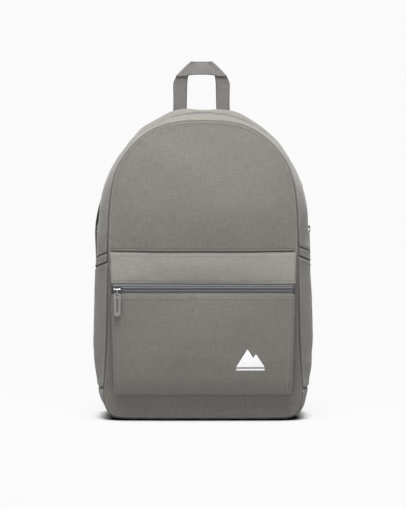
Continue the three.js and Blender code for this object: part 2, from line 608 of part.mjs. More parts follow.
// ---------------------------------------------------------------- laptop sleeve inside
{
  // front wall, and a rim on three sides that is sewn to the back panel
  const face = extrude(stadium(0, 153, 246, 286, 18), 4, 4);
  const rim = stadium(0, 153, 246, 286, 18);
  const rimSolid = solid(extrude(rim, 20.5, 4)).subtract(
    solid(extrude(stadium(0, 166, 241, 306.4, 16), 30, 4)).translate([0, 0, -4]),
  );
  const g = fromSolid(solid(face).translate([0, 0, 19.4]).add(rimSolid.intersect(solid(extrude(poly([[-130, 0], [130, 0], [130, 290], [-130, 290]]), 20)).translate([0, 0, 0]))));
  g.applyMatrix4(lay);
  g.translate(0, BACK_Y - GAP, 0);
  add("laptop_sleeve", g, lining);
  const strap = poly([[57.4, 322], [57.4, 340], [55.8, 340], [55.8, 323], [42, 301.8], [41, 299.6], [33.6, 299.2], [32, 297.4], [32, 262], [33.4, 262], [33.4, 297.2], [42, 297.9], [43.4, 300.4]]);
  const s = extrude(strap, 30);
  // shape (x, y) -> (Y, Z), extrusion along X
  s.applyMatrix4(new THREE.Matrix4().makeBasis(V(0, 1, 0), V(0, 0, 1), V(1, 0, 0)));
  s.translate(-15, 0, 0);
  add("sleeve_closure_strap", s, webbing);
}

// ---------------------------------------------------------------- grab handle
{
  const s = poly([
    [-41, 435], [-41, 474], [-40, 479.6], [-35.7, 485.4], [-26.3, 497], [-13, 508.5],
    [13, 508.5], [26.3, 497], [35.7, 485.4], [40, 479.6], [41, 474], [41, 435],
    [21.5, 437.2], [20.5, 489], [-20.5, 489], [-21.5, 437.2],
  ].map(([x, z]) => [x, z]));
  const g = extrude(s, 4.4);
  g.applyMatrix4(lay);
  g.translate(0, HANDLE_Y + 2.2, 0);
  add("grab_handle", g, webbing);
}

// ---------------------------------------------------------------- shoulder straps
// Centre line of the padded strap, [x, y, z, half width]; x is for the right strap.
const STRAP = [
  [46, 76.4, 396, 29], [47, 92, 402, 30], [50, 110, 398, 31], [58, 124, 380, 32], [76, 131, 346, 33.5],
  [98, 133, 306, 34.5], [115, 132, 268, 35], [123, 129, 232, 34], [126, 124, 198, 31], [127, 118, 168, 26], [127.5, 114, 152, 21],
];
const STRAP_THICK = 10;
function ribbon(frames, thick, round = true) {
  return loftSolid(
    frames.map(({ p, n, w, h }) => {
      const k = thick / 2;
      const sec = round
        ? [[-h, 0], [-h + 3, -k], [h - 3, -k], [h, 0], [h - 3, k], [-h + 3, k]]
        : [[-h, -k], [h, -k], [h, k], [-h, k]];
      return sec.map(([a, b]) => p.clone().addScaledVector(w, a).addScaledVector(n, b));
    }),
  );
}
// The straps hang freely, so they don't match: how far out each row is moved.
const SPLAY = {
  left: [0, 0, 0, 6, 13, 15.5, 9, 2.5, 0, 0, 0],
  right: [0, 0, 0, 0, -1, -2, -2, -1, 0, 0, 0],
};
for (const [side, word] of [[-1, "left"], [1, "right"]]) {
  // frames with a consistent normal: rotate from "up" at the root to "back" down the strap
  const pts = STRAP.map(([x, y, z], i) => V(side * (x + SPLAY[word][i]), y, z));
  const frames = pts.map((p, i) => {
    const a = pts[Math.max(0, i - 1)], b = pts[Math.min(pts.length - 1, i + 1)];
    const t = b.clone().sub(a).normalize();
    // width: level, across the run as seen from behind
    let w = V(1, 0, 0).addScaledVector(t, -t.x).normalize();
    const n = w.clone().cross(t).normalize();
    return { p, t, n: n.y + n.z < 0 ? n.negate() : n, w, h: STRAP[i][3] };
  });
  // a gap between neck and pad, square to the run
  const padStart = { ...frames[2], p: frames[2].p.clone().addScaledVector(frames[2].t, 0.4) };
  add(`strap_neck_${word}`, ribbon(frames.slice(0, 3), STRAP_THICK - 4), canvas);
  add(`strap_pad_${word}`, ribbon([padStart, ...frames.slice(3)], STRAP_THICK), canvas);
  // ladder lock, webbing and tab, in line from the pad's end to the lower corner
  const end = frames[frames.length - 1].p;
  const tabPoint = V(side * 141, REAR_Y + 3.4, 52);
  const L = tabPoint.clone().sub(end).normalize();
  const W = V(1, 0, 0).addScaledVector(L, -L.x).normalize();
  const N = W.clone().cross(L).normalize();
  if (N.y < 0) N.negate();
  const Wr = L.clone().cross(N).normalize(); // right-handed x for (x, y=N, z=-L)
  const barAt = end.clone().addScaledVector(L, 12.2);
  // keeper loop of webbing, sewn to the pad, round the lock's top bar
  {
    const s = poly([[-1.9, 10.8], [1.9, 10.8], [1.9, -1.6], [1.2, -3.1], [-1.2, -3.1], [-1.9, -1.6]]);
    s.holes.push(stadium(0, 0, 2.9, 3.4, 1.2, true));
    const g = extrude(s, 24, 3);
    g.translate(0, 0, -12);
    // shape x -> N, shape y -> -L, extrusion -> width
    const grp = frameGroup(barAt, N, L.clone().negate(), N.clone().cross(L.clone().negate()));
    add(`lock_keeper_${word}`, g, webbing, grp);
  }
  // ladder lock: frame with three bars; x = width, y = N, z = -L
  const X = N.clone().cross(L.clone().negate()).normalize();
  const lockGroup = frameGroup(barAt, X, N, L.clone().negate());
  {
    // side view shapes are boxes; the rails dip under the bars
    const bx = (w, d, h, x, y, z) => {
      const b = new THREE.BoxGeometry(w, d, h);
      b.translate(x, y, z);
      return solid(b);
    };
    let s = bx(28, 2.2, 2.2, 0, 0, 0);
    for (const k of [-1, 1]) s = s.add(bx(3, 3.6, 31, k * 15.2, 0, -13.6));
    s = s.add(bx(30, 2.6, 3, 0, 0, -12));
    s = s.add(bx(30, 2.6, 6.5, 0, 1.0, -25.8));
    add(`ladder_lock_${word}`, fromSolid(s), plastic, lockGroup);
  }
  // webbing over the middle bar, with its free tail hanging outside
  {
    const t = 1.4;
    const path = [[-3.1, -23.5], [-3.1, -13], [-2.6, -9.2], [0, -8.4], [2.6, -9.4], [2.6, -14], [0.2, -18], [-1.25, -21.5], [-1.25, -30], [1.2, -36.5], [7, -48], [14, -62], [21, -76]];
    const v2 = path.map(([a, b]) => new THREE.Vector2(a, b));
    const off = (sgn) =>
      v2.map((p, i) => {
        const a = v2[Math.max(0, i - 1)], b = v2[Math.min(v2.length - 1, i + 1)];
        const d = b.clone().sub(a).normalize();
        return [p.x - d.y * (t / 2) * sgn, p.y + d.x * (t / 2) * sgn];
      });
    const s = poly([...off(1), ...off(-1).reverse()]);
    const g = extrude(s, 24);
    g.translate(0, 0, -12);
    const grp = frameGroup(barAt, N, L.clone().negate(), N.clone().cross(L.clone().negate()));
    add(`webbing_tail_${word}`, g, webbing, grp);
  }
  // webbing from the lower tab up behind the lock
  {
    const a = barAt.clone().addScaledVector(L, 24.2).addScaledVector(N, -3.1);
    const b = V(side * 138.6, REAR_Y + 6.2, 68);
    const c = V(side * 140, REAR_Y + GAP + 4.1, 62);
    const d = V(side * 141.4, REAR_Y + GAP + 4.1, 47);
    const flat = { n: V(0, 1, 0), w: V(1, 0, 0), h: 12 };
    const fr = [{ p: a, n: N, w: W, h: 12 }, { p: a.clone().lerp(b, 0.5), n: N, w: W, h: 12 }, { p: b, n: N.clone().add(V(0, 1, 0)).normalize(), w: W, h: 12 }, { p: c, ...flat }, { p: d, ...flat }];
    add(`strap_webbing_${word}`, ribbon(fr, 1.4, false), webbing);
  }
  // triangular tab in the lower corner
  {
    const g = extrude(poly([[side * 147, 36], [side * 149.5, 78], [side * 127, 72], [side * 124, 60]]), 3);
    g.applyMatrix4(lay);
    g.translate(0, REAR_Y + GAP + 3, 0);
    add(`lower_tab_${word}`, g, canvas);
  }
}

export default root;
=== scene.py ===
import bpy, bmesh, json, math
import numpy as np
from mathutils import Vector, Matrix
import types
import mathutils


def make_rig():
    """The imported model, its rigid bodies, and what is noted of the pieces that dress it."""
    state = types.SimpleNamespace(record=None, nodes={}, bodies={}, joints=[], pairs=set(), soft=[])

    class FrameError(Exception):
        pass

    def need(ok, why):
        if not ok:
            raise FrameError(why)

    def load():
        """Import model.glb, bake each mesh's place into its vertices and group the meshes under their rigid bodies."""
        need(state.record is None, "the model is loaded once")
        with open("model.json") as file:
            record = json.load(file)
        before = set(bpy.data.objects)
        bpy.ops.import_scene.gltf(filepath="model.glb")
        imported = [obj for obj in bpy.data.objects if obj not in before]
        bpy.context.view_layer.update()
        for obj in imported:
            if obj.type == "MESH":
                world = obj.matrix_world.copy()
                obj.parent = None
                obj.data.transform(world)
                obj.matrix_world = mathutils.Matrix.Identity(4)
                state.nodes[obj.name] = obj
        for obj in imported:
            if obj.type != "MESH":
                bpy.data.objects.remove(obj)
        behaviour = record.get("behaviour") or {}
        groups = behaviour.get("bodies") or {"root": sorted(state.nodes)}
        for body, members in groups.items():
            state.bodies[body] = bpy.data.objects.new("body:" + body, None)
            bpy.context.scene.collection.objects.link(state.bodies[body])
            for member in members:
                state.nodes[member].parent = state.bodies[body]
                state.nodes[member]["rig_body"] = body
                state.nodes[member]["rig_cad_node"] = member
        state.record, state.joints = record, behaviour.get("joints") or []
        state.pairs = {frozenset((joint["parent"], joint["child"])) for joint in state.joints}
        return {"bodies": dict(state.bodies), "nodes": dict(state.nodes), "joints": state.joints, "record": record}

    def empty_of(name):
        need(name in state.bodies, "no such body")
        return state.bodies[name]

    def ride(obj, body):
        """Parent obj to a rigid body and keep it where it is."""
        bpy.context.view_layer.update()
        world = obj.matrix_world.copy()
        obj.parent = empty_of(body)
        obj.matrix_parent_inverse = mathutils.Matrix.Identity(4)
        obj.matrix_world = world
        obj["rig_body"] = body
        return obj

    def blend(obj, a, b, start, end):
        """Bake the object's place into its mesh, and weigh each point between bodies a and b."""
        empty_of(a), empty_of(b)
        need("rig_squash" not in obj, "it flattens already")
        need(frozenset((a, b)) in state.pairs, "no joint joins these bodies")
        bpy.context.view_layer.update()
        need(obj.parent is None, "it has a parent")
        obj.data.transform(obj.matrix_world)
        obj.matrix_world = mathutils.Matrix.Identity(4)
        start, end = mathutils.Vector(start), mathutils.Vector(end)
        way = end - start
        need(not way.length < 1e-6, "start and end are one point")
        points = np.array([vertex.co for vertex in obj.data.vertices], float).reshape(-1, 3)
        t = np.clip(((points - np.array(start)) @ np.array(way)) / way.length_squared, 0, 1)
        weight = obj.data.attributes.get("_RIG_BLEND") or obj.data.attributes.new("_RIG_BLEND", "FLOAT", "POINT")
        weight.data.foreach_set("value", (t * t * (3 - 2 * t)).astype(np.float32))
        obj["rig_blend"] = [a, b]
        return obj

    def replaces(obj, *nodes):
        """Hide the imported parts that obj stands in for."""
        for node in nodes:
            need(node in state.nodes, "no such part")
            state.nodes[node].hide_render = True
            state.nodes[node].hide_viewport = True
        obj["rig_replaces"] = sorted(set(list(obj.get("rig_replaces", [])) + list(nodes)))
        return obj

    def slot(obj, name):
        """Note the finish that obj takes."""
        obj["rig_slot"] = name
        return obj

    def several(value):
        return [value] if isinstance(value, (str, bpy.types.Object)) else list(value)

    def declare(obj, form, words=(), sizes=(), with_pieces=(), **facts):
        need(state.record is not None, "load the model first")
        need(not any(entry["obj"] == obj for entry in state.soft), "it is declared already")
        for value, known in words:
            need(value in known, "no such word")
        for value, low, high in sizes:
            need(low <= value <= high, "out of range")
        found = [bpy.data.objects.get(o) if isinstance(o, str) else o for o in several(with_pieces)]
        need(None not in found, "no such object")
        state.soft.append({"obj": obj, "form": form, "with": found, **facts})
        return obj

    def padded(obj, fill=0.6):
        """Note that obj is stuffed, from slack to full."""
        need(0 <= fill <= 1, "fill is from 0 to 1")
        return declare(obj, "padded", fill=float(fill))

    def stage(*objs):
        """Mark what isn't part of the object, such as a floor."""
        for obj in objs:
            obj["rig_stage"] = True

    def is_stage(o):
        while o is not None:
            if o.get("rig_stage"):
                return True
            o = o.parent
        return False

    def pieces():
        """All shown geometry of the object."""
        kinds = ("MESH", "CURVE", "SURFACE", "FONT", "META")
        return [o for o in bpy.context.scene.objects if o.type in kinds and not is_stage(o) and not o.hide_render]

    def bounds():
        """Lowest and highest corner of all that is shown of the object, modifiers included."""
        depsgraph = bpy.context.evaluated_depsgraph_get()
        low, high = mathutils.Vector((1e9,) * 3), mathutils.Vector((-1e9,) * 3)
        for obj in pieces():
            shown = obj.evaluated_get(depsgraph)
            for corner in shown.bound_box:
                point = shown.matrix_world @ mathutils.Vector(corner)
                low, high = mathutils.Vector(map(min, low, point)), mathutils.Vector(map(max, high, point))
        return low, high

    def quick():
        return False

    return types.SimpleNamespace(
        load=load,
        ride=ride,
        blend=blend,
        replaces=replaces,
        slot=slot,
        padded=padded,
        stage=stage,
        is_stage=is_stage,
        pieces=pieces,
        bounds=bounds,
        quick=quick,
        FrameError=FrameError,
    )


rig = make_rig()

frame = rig.load()
NODES = frame["nodes"]
cad_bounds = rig.bounds()
rng = np.random.RandomState(7)

# The shape constants repeat part.mjs, in millimetres in its own frame; SY moves them to the row frame.
SY = -20.8
FABRIC = 2.2
ZIP_CENTRE_Z, ZIP_R, ZIP_Y, ZIP_END_DEG, PARK_DEG = 290.0, 148.4, -12.0, 101.2, 96.0
FOLD_Z, HINGE_Y = 285.0, -72.0
BAND_TOP_Z, BAND_HEIGHT, BAND_DROP, LEFT_DROP = 250.0, 13.5, 12.0, 9.0
BASE_TOP_Z = 46.0
SIDE_FULL_Y, TOP_FULL_Y, BACK_Y, BACK_THICK = -32.0, 14.0, 58.0, 12.0
REAR_Y = BACK_Y + BACK_THICK
POCKET_ZIP_Z, POCKET_ZIP_Y, POCKET_ZIP_HALF, SLIDER_X = 191.0, -87.5, 128.3, -122.5
BAR_OUT, BAR_R, LINK_R, LINK_LENGTH = 4.2, 0.7, 0.6, 6.2
MAIN_PULL_LEAN, POCKET_PULL_LEAN = 0.14, 0.10
HANDLE_Y = 61.0

# ------------------------------------------------------------------ camera, light, floor
scene = bpy.context.scene
scene.view_settings.view_transform = "Standard"
scene.view_settings.look = "None"
PX = 1.43
ELEV = math.radians(5.0)
DIST = 8000.0
target = Vector((-0.2, -62.0 + SY, 239.2)) / 1000
cam_data = bpy.data.cameras.new("camera")
cam_data.sensor_fit = "VERTICAL"
cam_data.sensor_height = 36.0
cam_data.lens = 36.0 * DIST / (508 * PX)
cam_data.clip_end = 60.0
cam = bpy.data.objects.new("camera", cam_data)
cam.location = target + Vector((0, -math.cos(ELEV), math.sin(ELEV))) * DIST / 1000
cam.rotation_euler = (math.pi / 2 - ELEV, 0, 0)
scene.collection.objects.link(cam)
scene.camera = cam

def make_world(low, mid, top):
    """Studio surroundings by height: a white horizon, dimmer walls and a bright ceiling."""
    w = bpy.data.worlds.new("studio")
    w.use_nodes = True
    t = w.node_tree
    bg = t.nodes["Background"]
    co = t.nodes.new("ShaderNodeTexCoord")
    sep = t.nodes.new("ShaderNodeSeparateXYZ")
    t.links.new(co.outputs["Generated"], sep.inputs[0])
    def ramp(a, b):
        m = t.nodes.new("ShaderNodeMapRange")
        m.interpolation_type = "SMOOTHSTEP"
        t.links.new(sep.outputs[2], m.inputs["Value"])
        m.inputs["From Min"].default_value, m.inputs["From Max"].default_value = a, b
        return m.outputs["Result"]
    def step(fac, start, delta):
        m = t.nodes.new("ShaderNodeMath")
        m.operation = "MULTIPLY_ADD"
        t.links.new(fac, m.inputs[0])
        m.inputs[1].default_value = delta
        if isinstance(start, float):
            m.inputs[2].default_value = start
        else:
            t.links.new(start, m.inputs[2])
        return m.outputs[0]
    v = step(ramp(0.16, 0.30), float(low), mid - low)
    v = step(ramp(0.60, 0.88), v, top - mid)
    bg.inputs["Color"].default_value = (1.0, 1.0, 1.002, 1)
    t.links.new(v, bg.inputs["Strength"])
    scene.world = w


WORLD = (0.955, 0.2, 0.2)
make_world(*WORLD)


def sun(name, azimuth, elevation, strength, angle=35.0, color=(1, 1, 1)):
    """Distant soft light; azimuth 0 shines from the front, positive from the right."""
    d = bpy.data.lights.new(name, "SUN")
    d.energy = strength
    d.angle = math.radians(angle)
    d.color = color
    o = bpy.data.objects.new(name, d)
    a, e = math.radians(azimuth), math.radians(elevation)
    v = Vector((math.sin(a) * math.cos(e), -math.cos(a) * math.cos(e), math.sin(e)))
    o.rotation_euler = v.to_track_quat("Z", "Y").to_euler()
    o.location = v * 2
    scene.collection.objects.link(o)
    return o


sun("key_top", 0, 86, 5.6, 25)
sun("front_low", 0, 15, 0.36, 25)
sun("side_left", -40, 50, 0.42, 25)
box = bpy.data.lights.new("softbox_top", "AREA")
box.energy = 6.8
box.shape = "SQUARE"
box.size = 0.5
box_ob = bpy.data.objects.new("softbox_top", box)
box_ob.location = (0, -0.55, 1.0)
box_ob.rotation_euler = (Vector((0, -0.55, 1.0)) - Vector((0, -0.1, 0.38))).to_track_quat("Z", "Y").to_euler()
scene.collection.objects.link(box_ob)

# ------------------------------------------------------------------ shape functions
def dense(points, sigma=7.0, step=1.0, ends=("mirror_x", "mirror_x")):
    """A half outline resampled at 1 mm and rounded, mirrored at both ends so it stays closed on the centre line."""
    p = np.array(points, float)
    m = p[1:][::-1] * [-1, 1]
    q = p[:-1][::-1] * [-1, 1]
    full = np.vstack([m, p, q])
    seg = np.linalg.norm(np.diff(full, axis=0), axis=1)
    s = np.concatenate([[0], np.cumsum(seg)])
    total = s[-1]
    t = np.arange(0, total, step)
    f = np.column_stack([np.interp(t, s, full[:, k]) for k in (0, 1)])
    r = int(4 * sigma)
    k = np.exp(-0.5 * (np.arange(-r, r + 1) / sigma) ** 2)
    k /= k.sum()
    g = np.column_stack([np.convolve(np.pad(f[:, c], r, "edge"), k, "valid") for c in (0, 1)])
    s0, s1 = s[len(m)], s[len(m) + len(p) - 1]
    keep = (t >= s0 - 1.5) & (t <= s1 + 1.5)
    return g[keep]


FRONT_SEAM = dense([
    (0, 430), (14, 429.9), (28, 429.5), (50.5, 425.9), (61, 422.4), (72, 417.8), (83.5, 411),
    (94.5, 401.8), (105.4, 390.3), (114, 379), (120, 370), (124.5, 359.3), (128, 348.2),
    (130.6, 336), (132.6, 322.8), (134, 309.5), (134.8, 300), (136, 270), (136.5, 247),
    (136.8, 200), (137, 158), (137.8, 110), (139.5, 80), (141.5, 58), (143, 40), (142.5, 28),
    (139, 15), (132, 7), (122, 4), (100, 3), (50, 2.5), (0, 2.5)], 5.0)
CROWN = dense([
    (0, 443), (24, 441.8), (46, 438), (60, 432.8), (71, 427.2), (91, 413), (105.5, 399),
    (116.5, 385), (125, 371), (132, 356.5), (138, 341.5), (142.5, 328), (146, 313),
    (148.7, 299), (150.3, 285), (151.8, 270), (153.2, 256), (154.6, 242), (156.8, 213),
    (158.2, 184), (159.2, 155), (159.5, 115), (158.3, 84), (157, 70), (154.5, 54),
    (150.5, 38), (145.5, 22), (138, 9), (128, 2), (118, 0.6), (60, 0.6), (0, 0.6)], 5.0)


def smooth(t):
    t = np.clip(t, 0, 1)
    return t * t * (3 - 2 * t)


# the filled sides are pulled in a little below the zip ends, where the side seams hold the cloth
CROWN[:, 0] *= 1 - 0.012 * smooth((278 - CROWN[:, 1]) / 50) * smooth((CROWN[:, 1] - 20) / 40)


def cast(outline, ox, oz, dx, dz):
    a, b = outline[:-1], outline[1:]
    e = b - a
    det = dx * e[:, 1] - dz * e[:, 0]
    det = np.where(np.abs(det) < 1e-9, 1e-9, det)
    t = ((a[:, 0] - ox) * e[:, 1] - (a[:, 1] - oz) * e[:, 0]) / det
    u = ((a[:, 0] - ox) * dz - (a[:, 1] - oz) * dx) / det
    ok = (t > 1e-6) & (u >= -1e-6) & (u <= 1 + 1e-6)
    return float(t[ok].min()) if ok.any() else float(np.abs(t).min())


def front_y(z):
    return -66 + 10 * (z / 430) ** 2


def station(kind, value, side):
    ox, oz, dx, dz = 0.0, ZIP_CENTRE_Z, 0.0, 0.0
    if kind == "arch": dx, dz = math.sin(value), math.cos(value)
    if kind == "side": oz, dx, dz = value, 1.0, 0.0
    if kind == "corner": ox, oz, dx, dz = 100.0, BASE_TOP_Z, math.cos(value), -math.sin(value)
    if kind == "base": ox, oz, dx, dz = value, BASE_TOP_Z, 0.0, -1.0
    rf, rg = cast(FRONT_SEAM, ox, oz, dx, dz), cast(CROWN, ox, oz, dx, dz)
    turn = float(smooth((value - 0.52) / 0.6)) if kind == "arch" else 1.0
    down = float(smooth(value / (math.pi / 2))) if kind == "corner" else (1.0 if kind == "base" else 0.0)
    r1 = rf + (rg - rf) * (0.45 + 0.55 * turn)
    r3 = rg - 3 * turn * (1 - down)
    rm = r1 + (r3 - r1) * 0.45
    if kind == "arch": rm = ZIP_R
    if kind == "side":
        c = math.sqrt(max(0.0, ZIP_R ** 2 - (ZIP_CENTRE_Z - max(value, 262)) ** 2))
        rm = c + (rm - c) * float(smooth((262 - value) / 42))
    rb = rg - 7 * (1 - down)
    yf = front_y(oz + dz * rf)
    return dict(ox=ox, oz=oz, dx=dx, dz=dz, side=side, ky=np.array([yf, SIDE_FULL_Y, ZIP_Y, TOP_FULL_Y, BACK_Y]),
                kr=np.array([rf, r1, rm, r3, rb]))


def radius(st, y):
    """Monotone cubic through the knots: radius and slope at depths y."""
    ky, kr = st["ky"], st["kr"]
    h = np.diff(ky)
    d = np.diff(kr) / h
    m = np.zeros(5)
    m[0], m[4] = d[0] * 1.15, d[3] * 1.5
    for i in (1, 2, 3):
        m[i] = 0 if d[i - 1] * d[i] <= 0 else 2 * d[i - 1] * d[i] / (d[i - 1] + d[i])
    y = np.asarray(y, float)
    i = np.clip(np.searchsorted(ky, y, "right") - 1, 0, 3)
    t = (y - ky[i]) / h[i]
    f = lambda t: ((2 * t ** 3 - 3 * t ** 2 + 1) * kr[i] + (t ** 3 - 2 * t ** 2 + t) * h[i] * m[i]
                   + (-2 * t ** 3 + 3 * t ** 2) * kr[i + 1] + (t ** 3 - t ** 2) * h[i] * m[i + 1])
    return f(t), (f(t + 0.01) - f(t - 0.01)) / (0.02 * h[i])


def skin(st, y):
    """Points on the gusset at one station, for an array of depths y."""
    r, _ = radius(st, y)
    y = np.asarray(y, float)
    return np.column_stack([st["side"] * (st["ox"] + st["dx"] * r), y, st["oz"] + st["dz"] * r])


def field(u, v, wave, seed, n=14, aniso=(1.0, 1.0)):
    """A smooth seeded ripple field of about unit height with wavelengths near wave (mm)."""
    r = np.random.RandomState(seed)
    out = np.zeros(np.broadcast(u, v).shape)
    for _ in range(n):
        a = r.uniform(0, math.tau)
        w = math.tau / (wave * r.uniform(0.65, 1.6))
        out = out + np.sin(u * aniso[0] * math.cos(a) * w + v * aniso[1] * math.sin(a) * w + r.uniform(0, math.tau))
    return out / math.sqrt(n / 2)


# ------------------------------------------------------------------ mesh helpers
def link(o):
    scene.collection.objects.link(o)
    return o


def mesh_object(name, verts_mm, faces, mats, mat_index=None, wv=None, smooth_shade=True, shift=True, seam=None):
    v = np.asarray(verts_mm, float).copy()
    if shift:
        v[:, 1] += SY
    v /= 1000.0
    me = bpy.data.meshes.new(name)
    me.from_pydata(v.tolist(), [], [list(map(int, f)) for f in faces])
    for m in mats:
        me.materials.append(m)
    if mat_index is not None:
        me.polygons.foreach_set("material_index", np.asarray(mat_index, np.int32))
    if smooth_shade:
        me.polygons.foreach_set("use_smooth", np.ones(len(me.polygons), bool))
    if wv is not None:
        set_wv(me, wv)
    # the seam attribute carries the painted shade that the cloth materials lay along seams
    if seam is not None:
        a = me.attributes.new("seam", "FLOAT", "POINT")
        a.data.foreach_set("value", np.asarray(seam, np.float32))
    me.update()
    return link(bpy.data.objects.new(name, me))


def set_wv(me, wv):
    wv = np.asarray(wv, float)
    if wv.shape[1] == 2:
        wv = np.column_stack([wv, np.zeros(len(wv))])
    a = me.attributes.get("wv") or me.attributes.new("wv", "FLOAT_VECTOR", "POINT")
    a.data.foreach_set("vector", wv.astype(np.float32).ravel())


def grid_normals(P):
    du = np.gradient(P, axis=0)
    dv = np.gradient(P, axis=1)
    n = np.cross(du, dv)
    l = np.linalg.norm(n, axis=2, keepdims=True)
    l[l < 1e-9] = 1
    return n / l


def arc_len(P, axis):
    d = np.linalg.norm(np.diff(P, axis=axis), axis=2)
    z = np.zeros_like(np.take(d, [0], axis=axis))
    return np.concatenate([z, np.cumsum(d, axis=axis)], axis=axis)


def roll(d, width=2.6, depth=2.2):
    """How far a turned-in edge drops at distance d from the edge."""
    t = np.clip(1 - d / width, 0, 1)
    return depth * (1 - np.sqrt(np.clip(1 - t ** 2, 0, 1)))


def sheet_piece(name, P, out_hint, mats, edges="", thick=1.7, bump=None, pucker=0.35, wv=None, close_cols=False,
                roll_width=2.6, roll_depth=2.2, seed=1, inner_slot=1, seam_shade_scale=1.0, seam_shade_extra=None):
    """A sewn panel: outer grid P (rows, cols, 3), edges turned in where edges names r0 r1 c0 c1, and a lining face behind.
    out_hint is a point inside the bag, so the outer face looks away from it."""
    P = np.array(P, float)
    N = grid_normals(P)
    flip = np.sum((P - np.asarray(out_hint)) * N) < 0
    if flip:
        N = -N
    lr, lc = arc_len(P, 0), arc_len(P, 1)
    dist = {"r0": lr, "r1": lr[-1:, :] - lr, "c0": lc, "c1": lc[:, -1:] - lc}
    off = np.zeros(P.shape[:2])
    near = np.full(P.shape[:2], 1e9)
    for e in edges.split():
        off += -roll(dist[e], roll_width, roll_depth)
        near = np.minimum(near, dist[e])
        along = lc if e[0] == "r" else lr
        amp = pucker * np.exp(-((dist[e] - 5.5) / 4.5) ** 2)
        off += amp * (np.sin(along / 3.4 + 2.2 * np.sin(along / 23.0 + seed)) * 0.5 + field(along, dist[e] * 0.6, 11.0, seed * 7 + len(e) + ord(e[1]), 8) * 0.5)
    if bump is not None:
        off += bump(lr, lc, P, near)
    O = P + N * off[..., None]
    I = P + N * (np.minimum(off, 0) * 0.6 - thick)[..., None]
    R, C = P.shape[:2]
    idx = np.arange(R * C).reshape(R, C)
    a, b, c, d = idx[:-1, :-1].ravel(), idx[:-1, 1:].ravel(), idx[1:, 1:].ravel(), idx[1:, :-1].ravel()
    outer = np.column_stack([a, d, c, b]) if flip else np.column_stack([a, b, c, d])
    k = R * C
    inner = outer[:, ::-1] + k
    rim = []
    def strip(line):
        for i in range(len(line) - 1):
            rim.append((line[i], line[i + 1], line[i + 1] + k, line[i] + k))
    border = np.concatenate([idx[0, :], idx[1:, -1], idx[-1, :-1][::-1], idx[:-1, 0][::-1]])
    strip(border.tolist())
    rim = np.array(rim)
    if flip is not False and flip:
        pass
    # the rim must wind against the outer faces' border
    rim = rim if flip else rim[:, ::-1]
    faces = np.vstack([outer, inner, rim])
    mi = np.concatenate([np.zeros(len(outer)), np.full(len(inner), inner_slot if len(mats) > 1 else 0), np.zeros(len(rim))]).astype(int)
    if wv is None:
        wv = np.stack([lc, lr], axis=2)
    W = np.vstack([wv.reshape(-1, 2), wv.reshape(-1, 2)]) / 1000.0
    # painted shade along the turned-in edges: the seam value falls off within about a millimetre of each edge
    s = seam_shade_scale * np.exp(-(near / 1.15) ** 2)
    if seam_shade_extra is not None:
        s = np.maximum(s, seam_shade_extra(lr, lc, P))
    s = s.ravel()
    o = mesh_object(name, np.vstack([O.reshape(-1, 3), I.reshape(-1, 3)]), faces, mats, mi, W, seam=np.concatenate([s, s]))
    fix_normals(o)
    o["grid"] = [R, C]
    return o, O, N


def fix_normals(o):
    bm = bmesh.new()
    bm.from_mesh(o.data)
    bmesh.ops.remove_doubles(bm, verts=bm.verts, dist=1e-7)
    bmesh.ops.recalc_face_normals(bm, faces=bm.faces)
    bm.to_mesh(o.data)
    bm.free()


def sweep(name, path, profile, up, mats, closed_profile=True, wv_scale=1.0, cap=True):
    """A closed profile [(across, out)] carried along path points with given out vectors."""
    path, up = np.array(path, float), np.array(up, float)
    t = np.gradient(path, axis=0)
    t /= np.linalg.norm(t, axis=1, keepdims=True)
    up = up - np.sum(up * t, axis=1, keepdims=True) * t
    up /= np.linalg.norm(up, axis=1, keepdims=True)
    ac = np.cross(t, up)
    prof = np.array(profile, float)
    if prof.ndim == 2:
        prof = np.broadcast_to(prof, (len(path),) + prof.shape)
    n = prof.shape[1]
    V = path[:, None, :] + prof[:, :, :1] * ac[:, None, :] + prof[:, :, 1:2] * up[:, None, :]
    R = len(path)
    idx = np.arange(R * n).reshape(R, n)
    nx = np.roll(idx, -1, axis=1)
    faces = np.stack([idx[:-1], nx[:-1], nx[1:], idx[1:]], axis=2).reshape(-1, 4).tolist()
    if cap:
        faces.append(idx[0][::-1].tolist())
        faces.append(idx[-1].tolist())
    s = np.concatenate([[0], np.cumsum(np.linalg.norm(np.diff(path, axis=0), axis=1))])
    wv = np.stack([prof[:, :, 0], np.broadcast_to(s[:, None], prof.shape[:2])], axis=2).reshape(-1, 2) / 1000
    o = mesh_object(name, V.reshape(-1, 3), faces, mats, wv=wv)
    fix_normals(o)
    return o


def join(objs, name):
    objs = [o for o in objs if o]
    bpy.ops.object.select_all(action="DESELECT")
    for o in objs:
        o.select_set(True)
    bpy.context.view_layer.objects.active = objs[0]
    bpy.ops.object.join()
    o = bpy.context.view_layer.objects.active
    o.name = name
    o.data.name = name
    return o


def apply_modifiers(o):
    bpy.ops.object.select_all(action="DESELECT")
    o.select_set(True)
    bpy.context.view_layer.objects.active = o
    for m in list(o.modifiers):
        bpy.ops.object.modifier_apply(modifier=m.name)


def subdivide(o, levels=1):
    m = o.modifiers.new("sub", "SUBSURF")
    m.levels = m.render_levels = levels
    apply_modifiers(o)
    return o


def bevel(o, width, segments=2, angle=30):
    m = o.modifiers.new("bevel", "BEVEL")
    m.width = width / 1000
    m.segments = segments
    m.limit_method = "ANGLE"
    m.angle_limit = math.radians(angle)
    apply_modifiers(o)
    return o


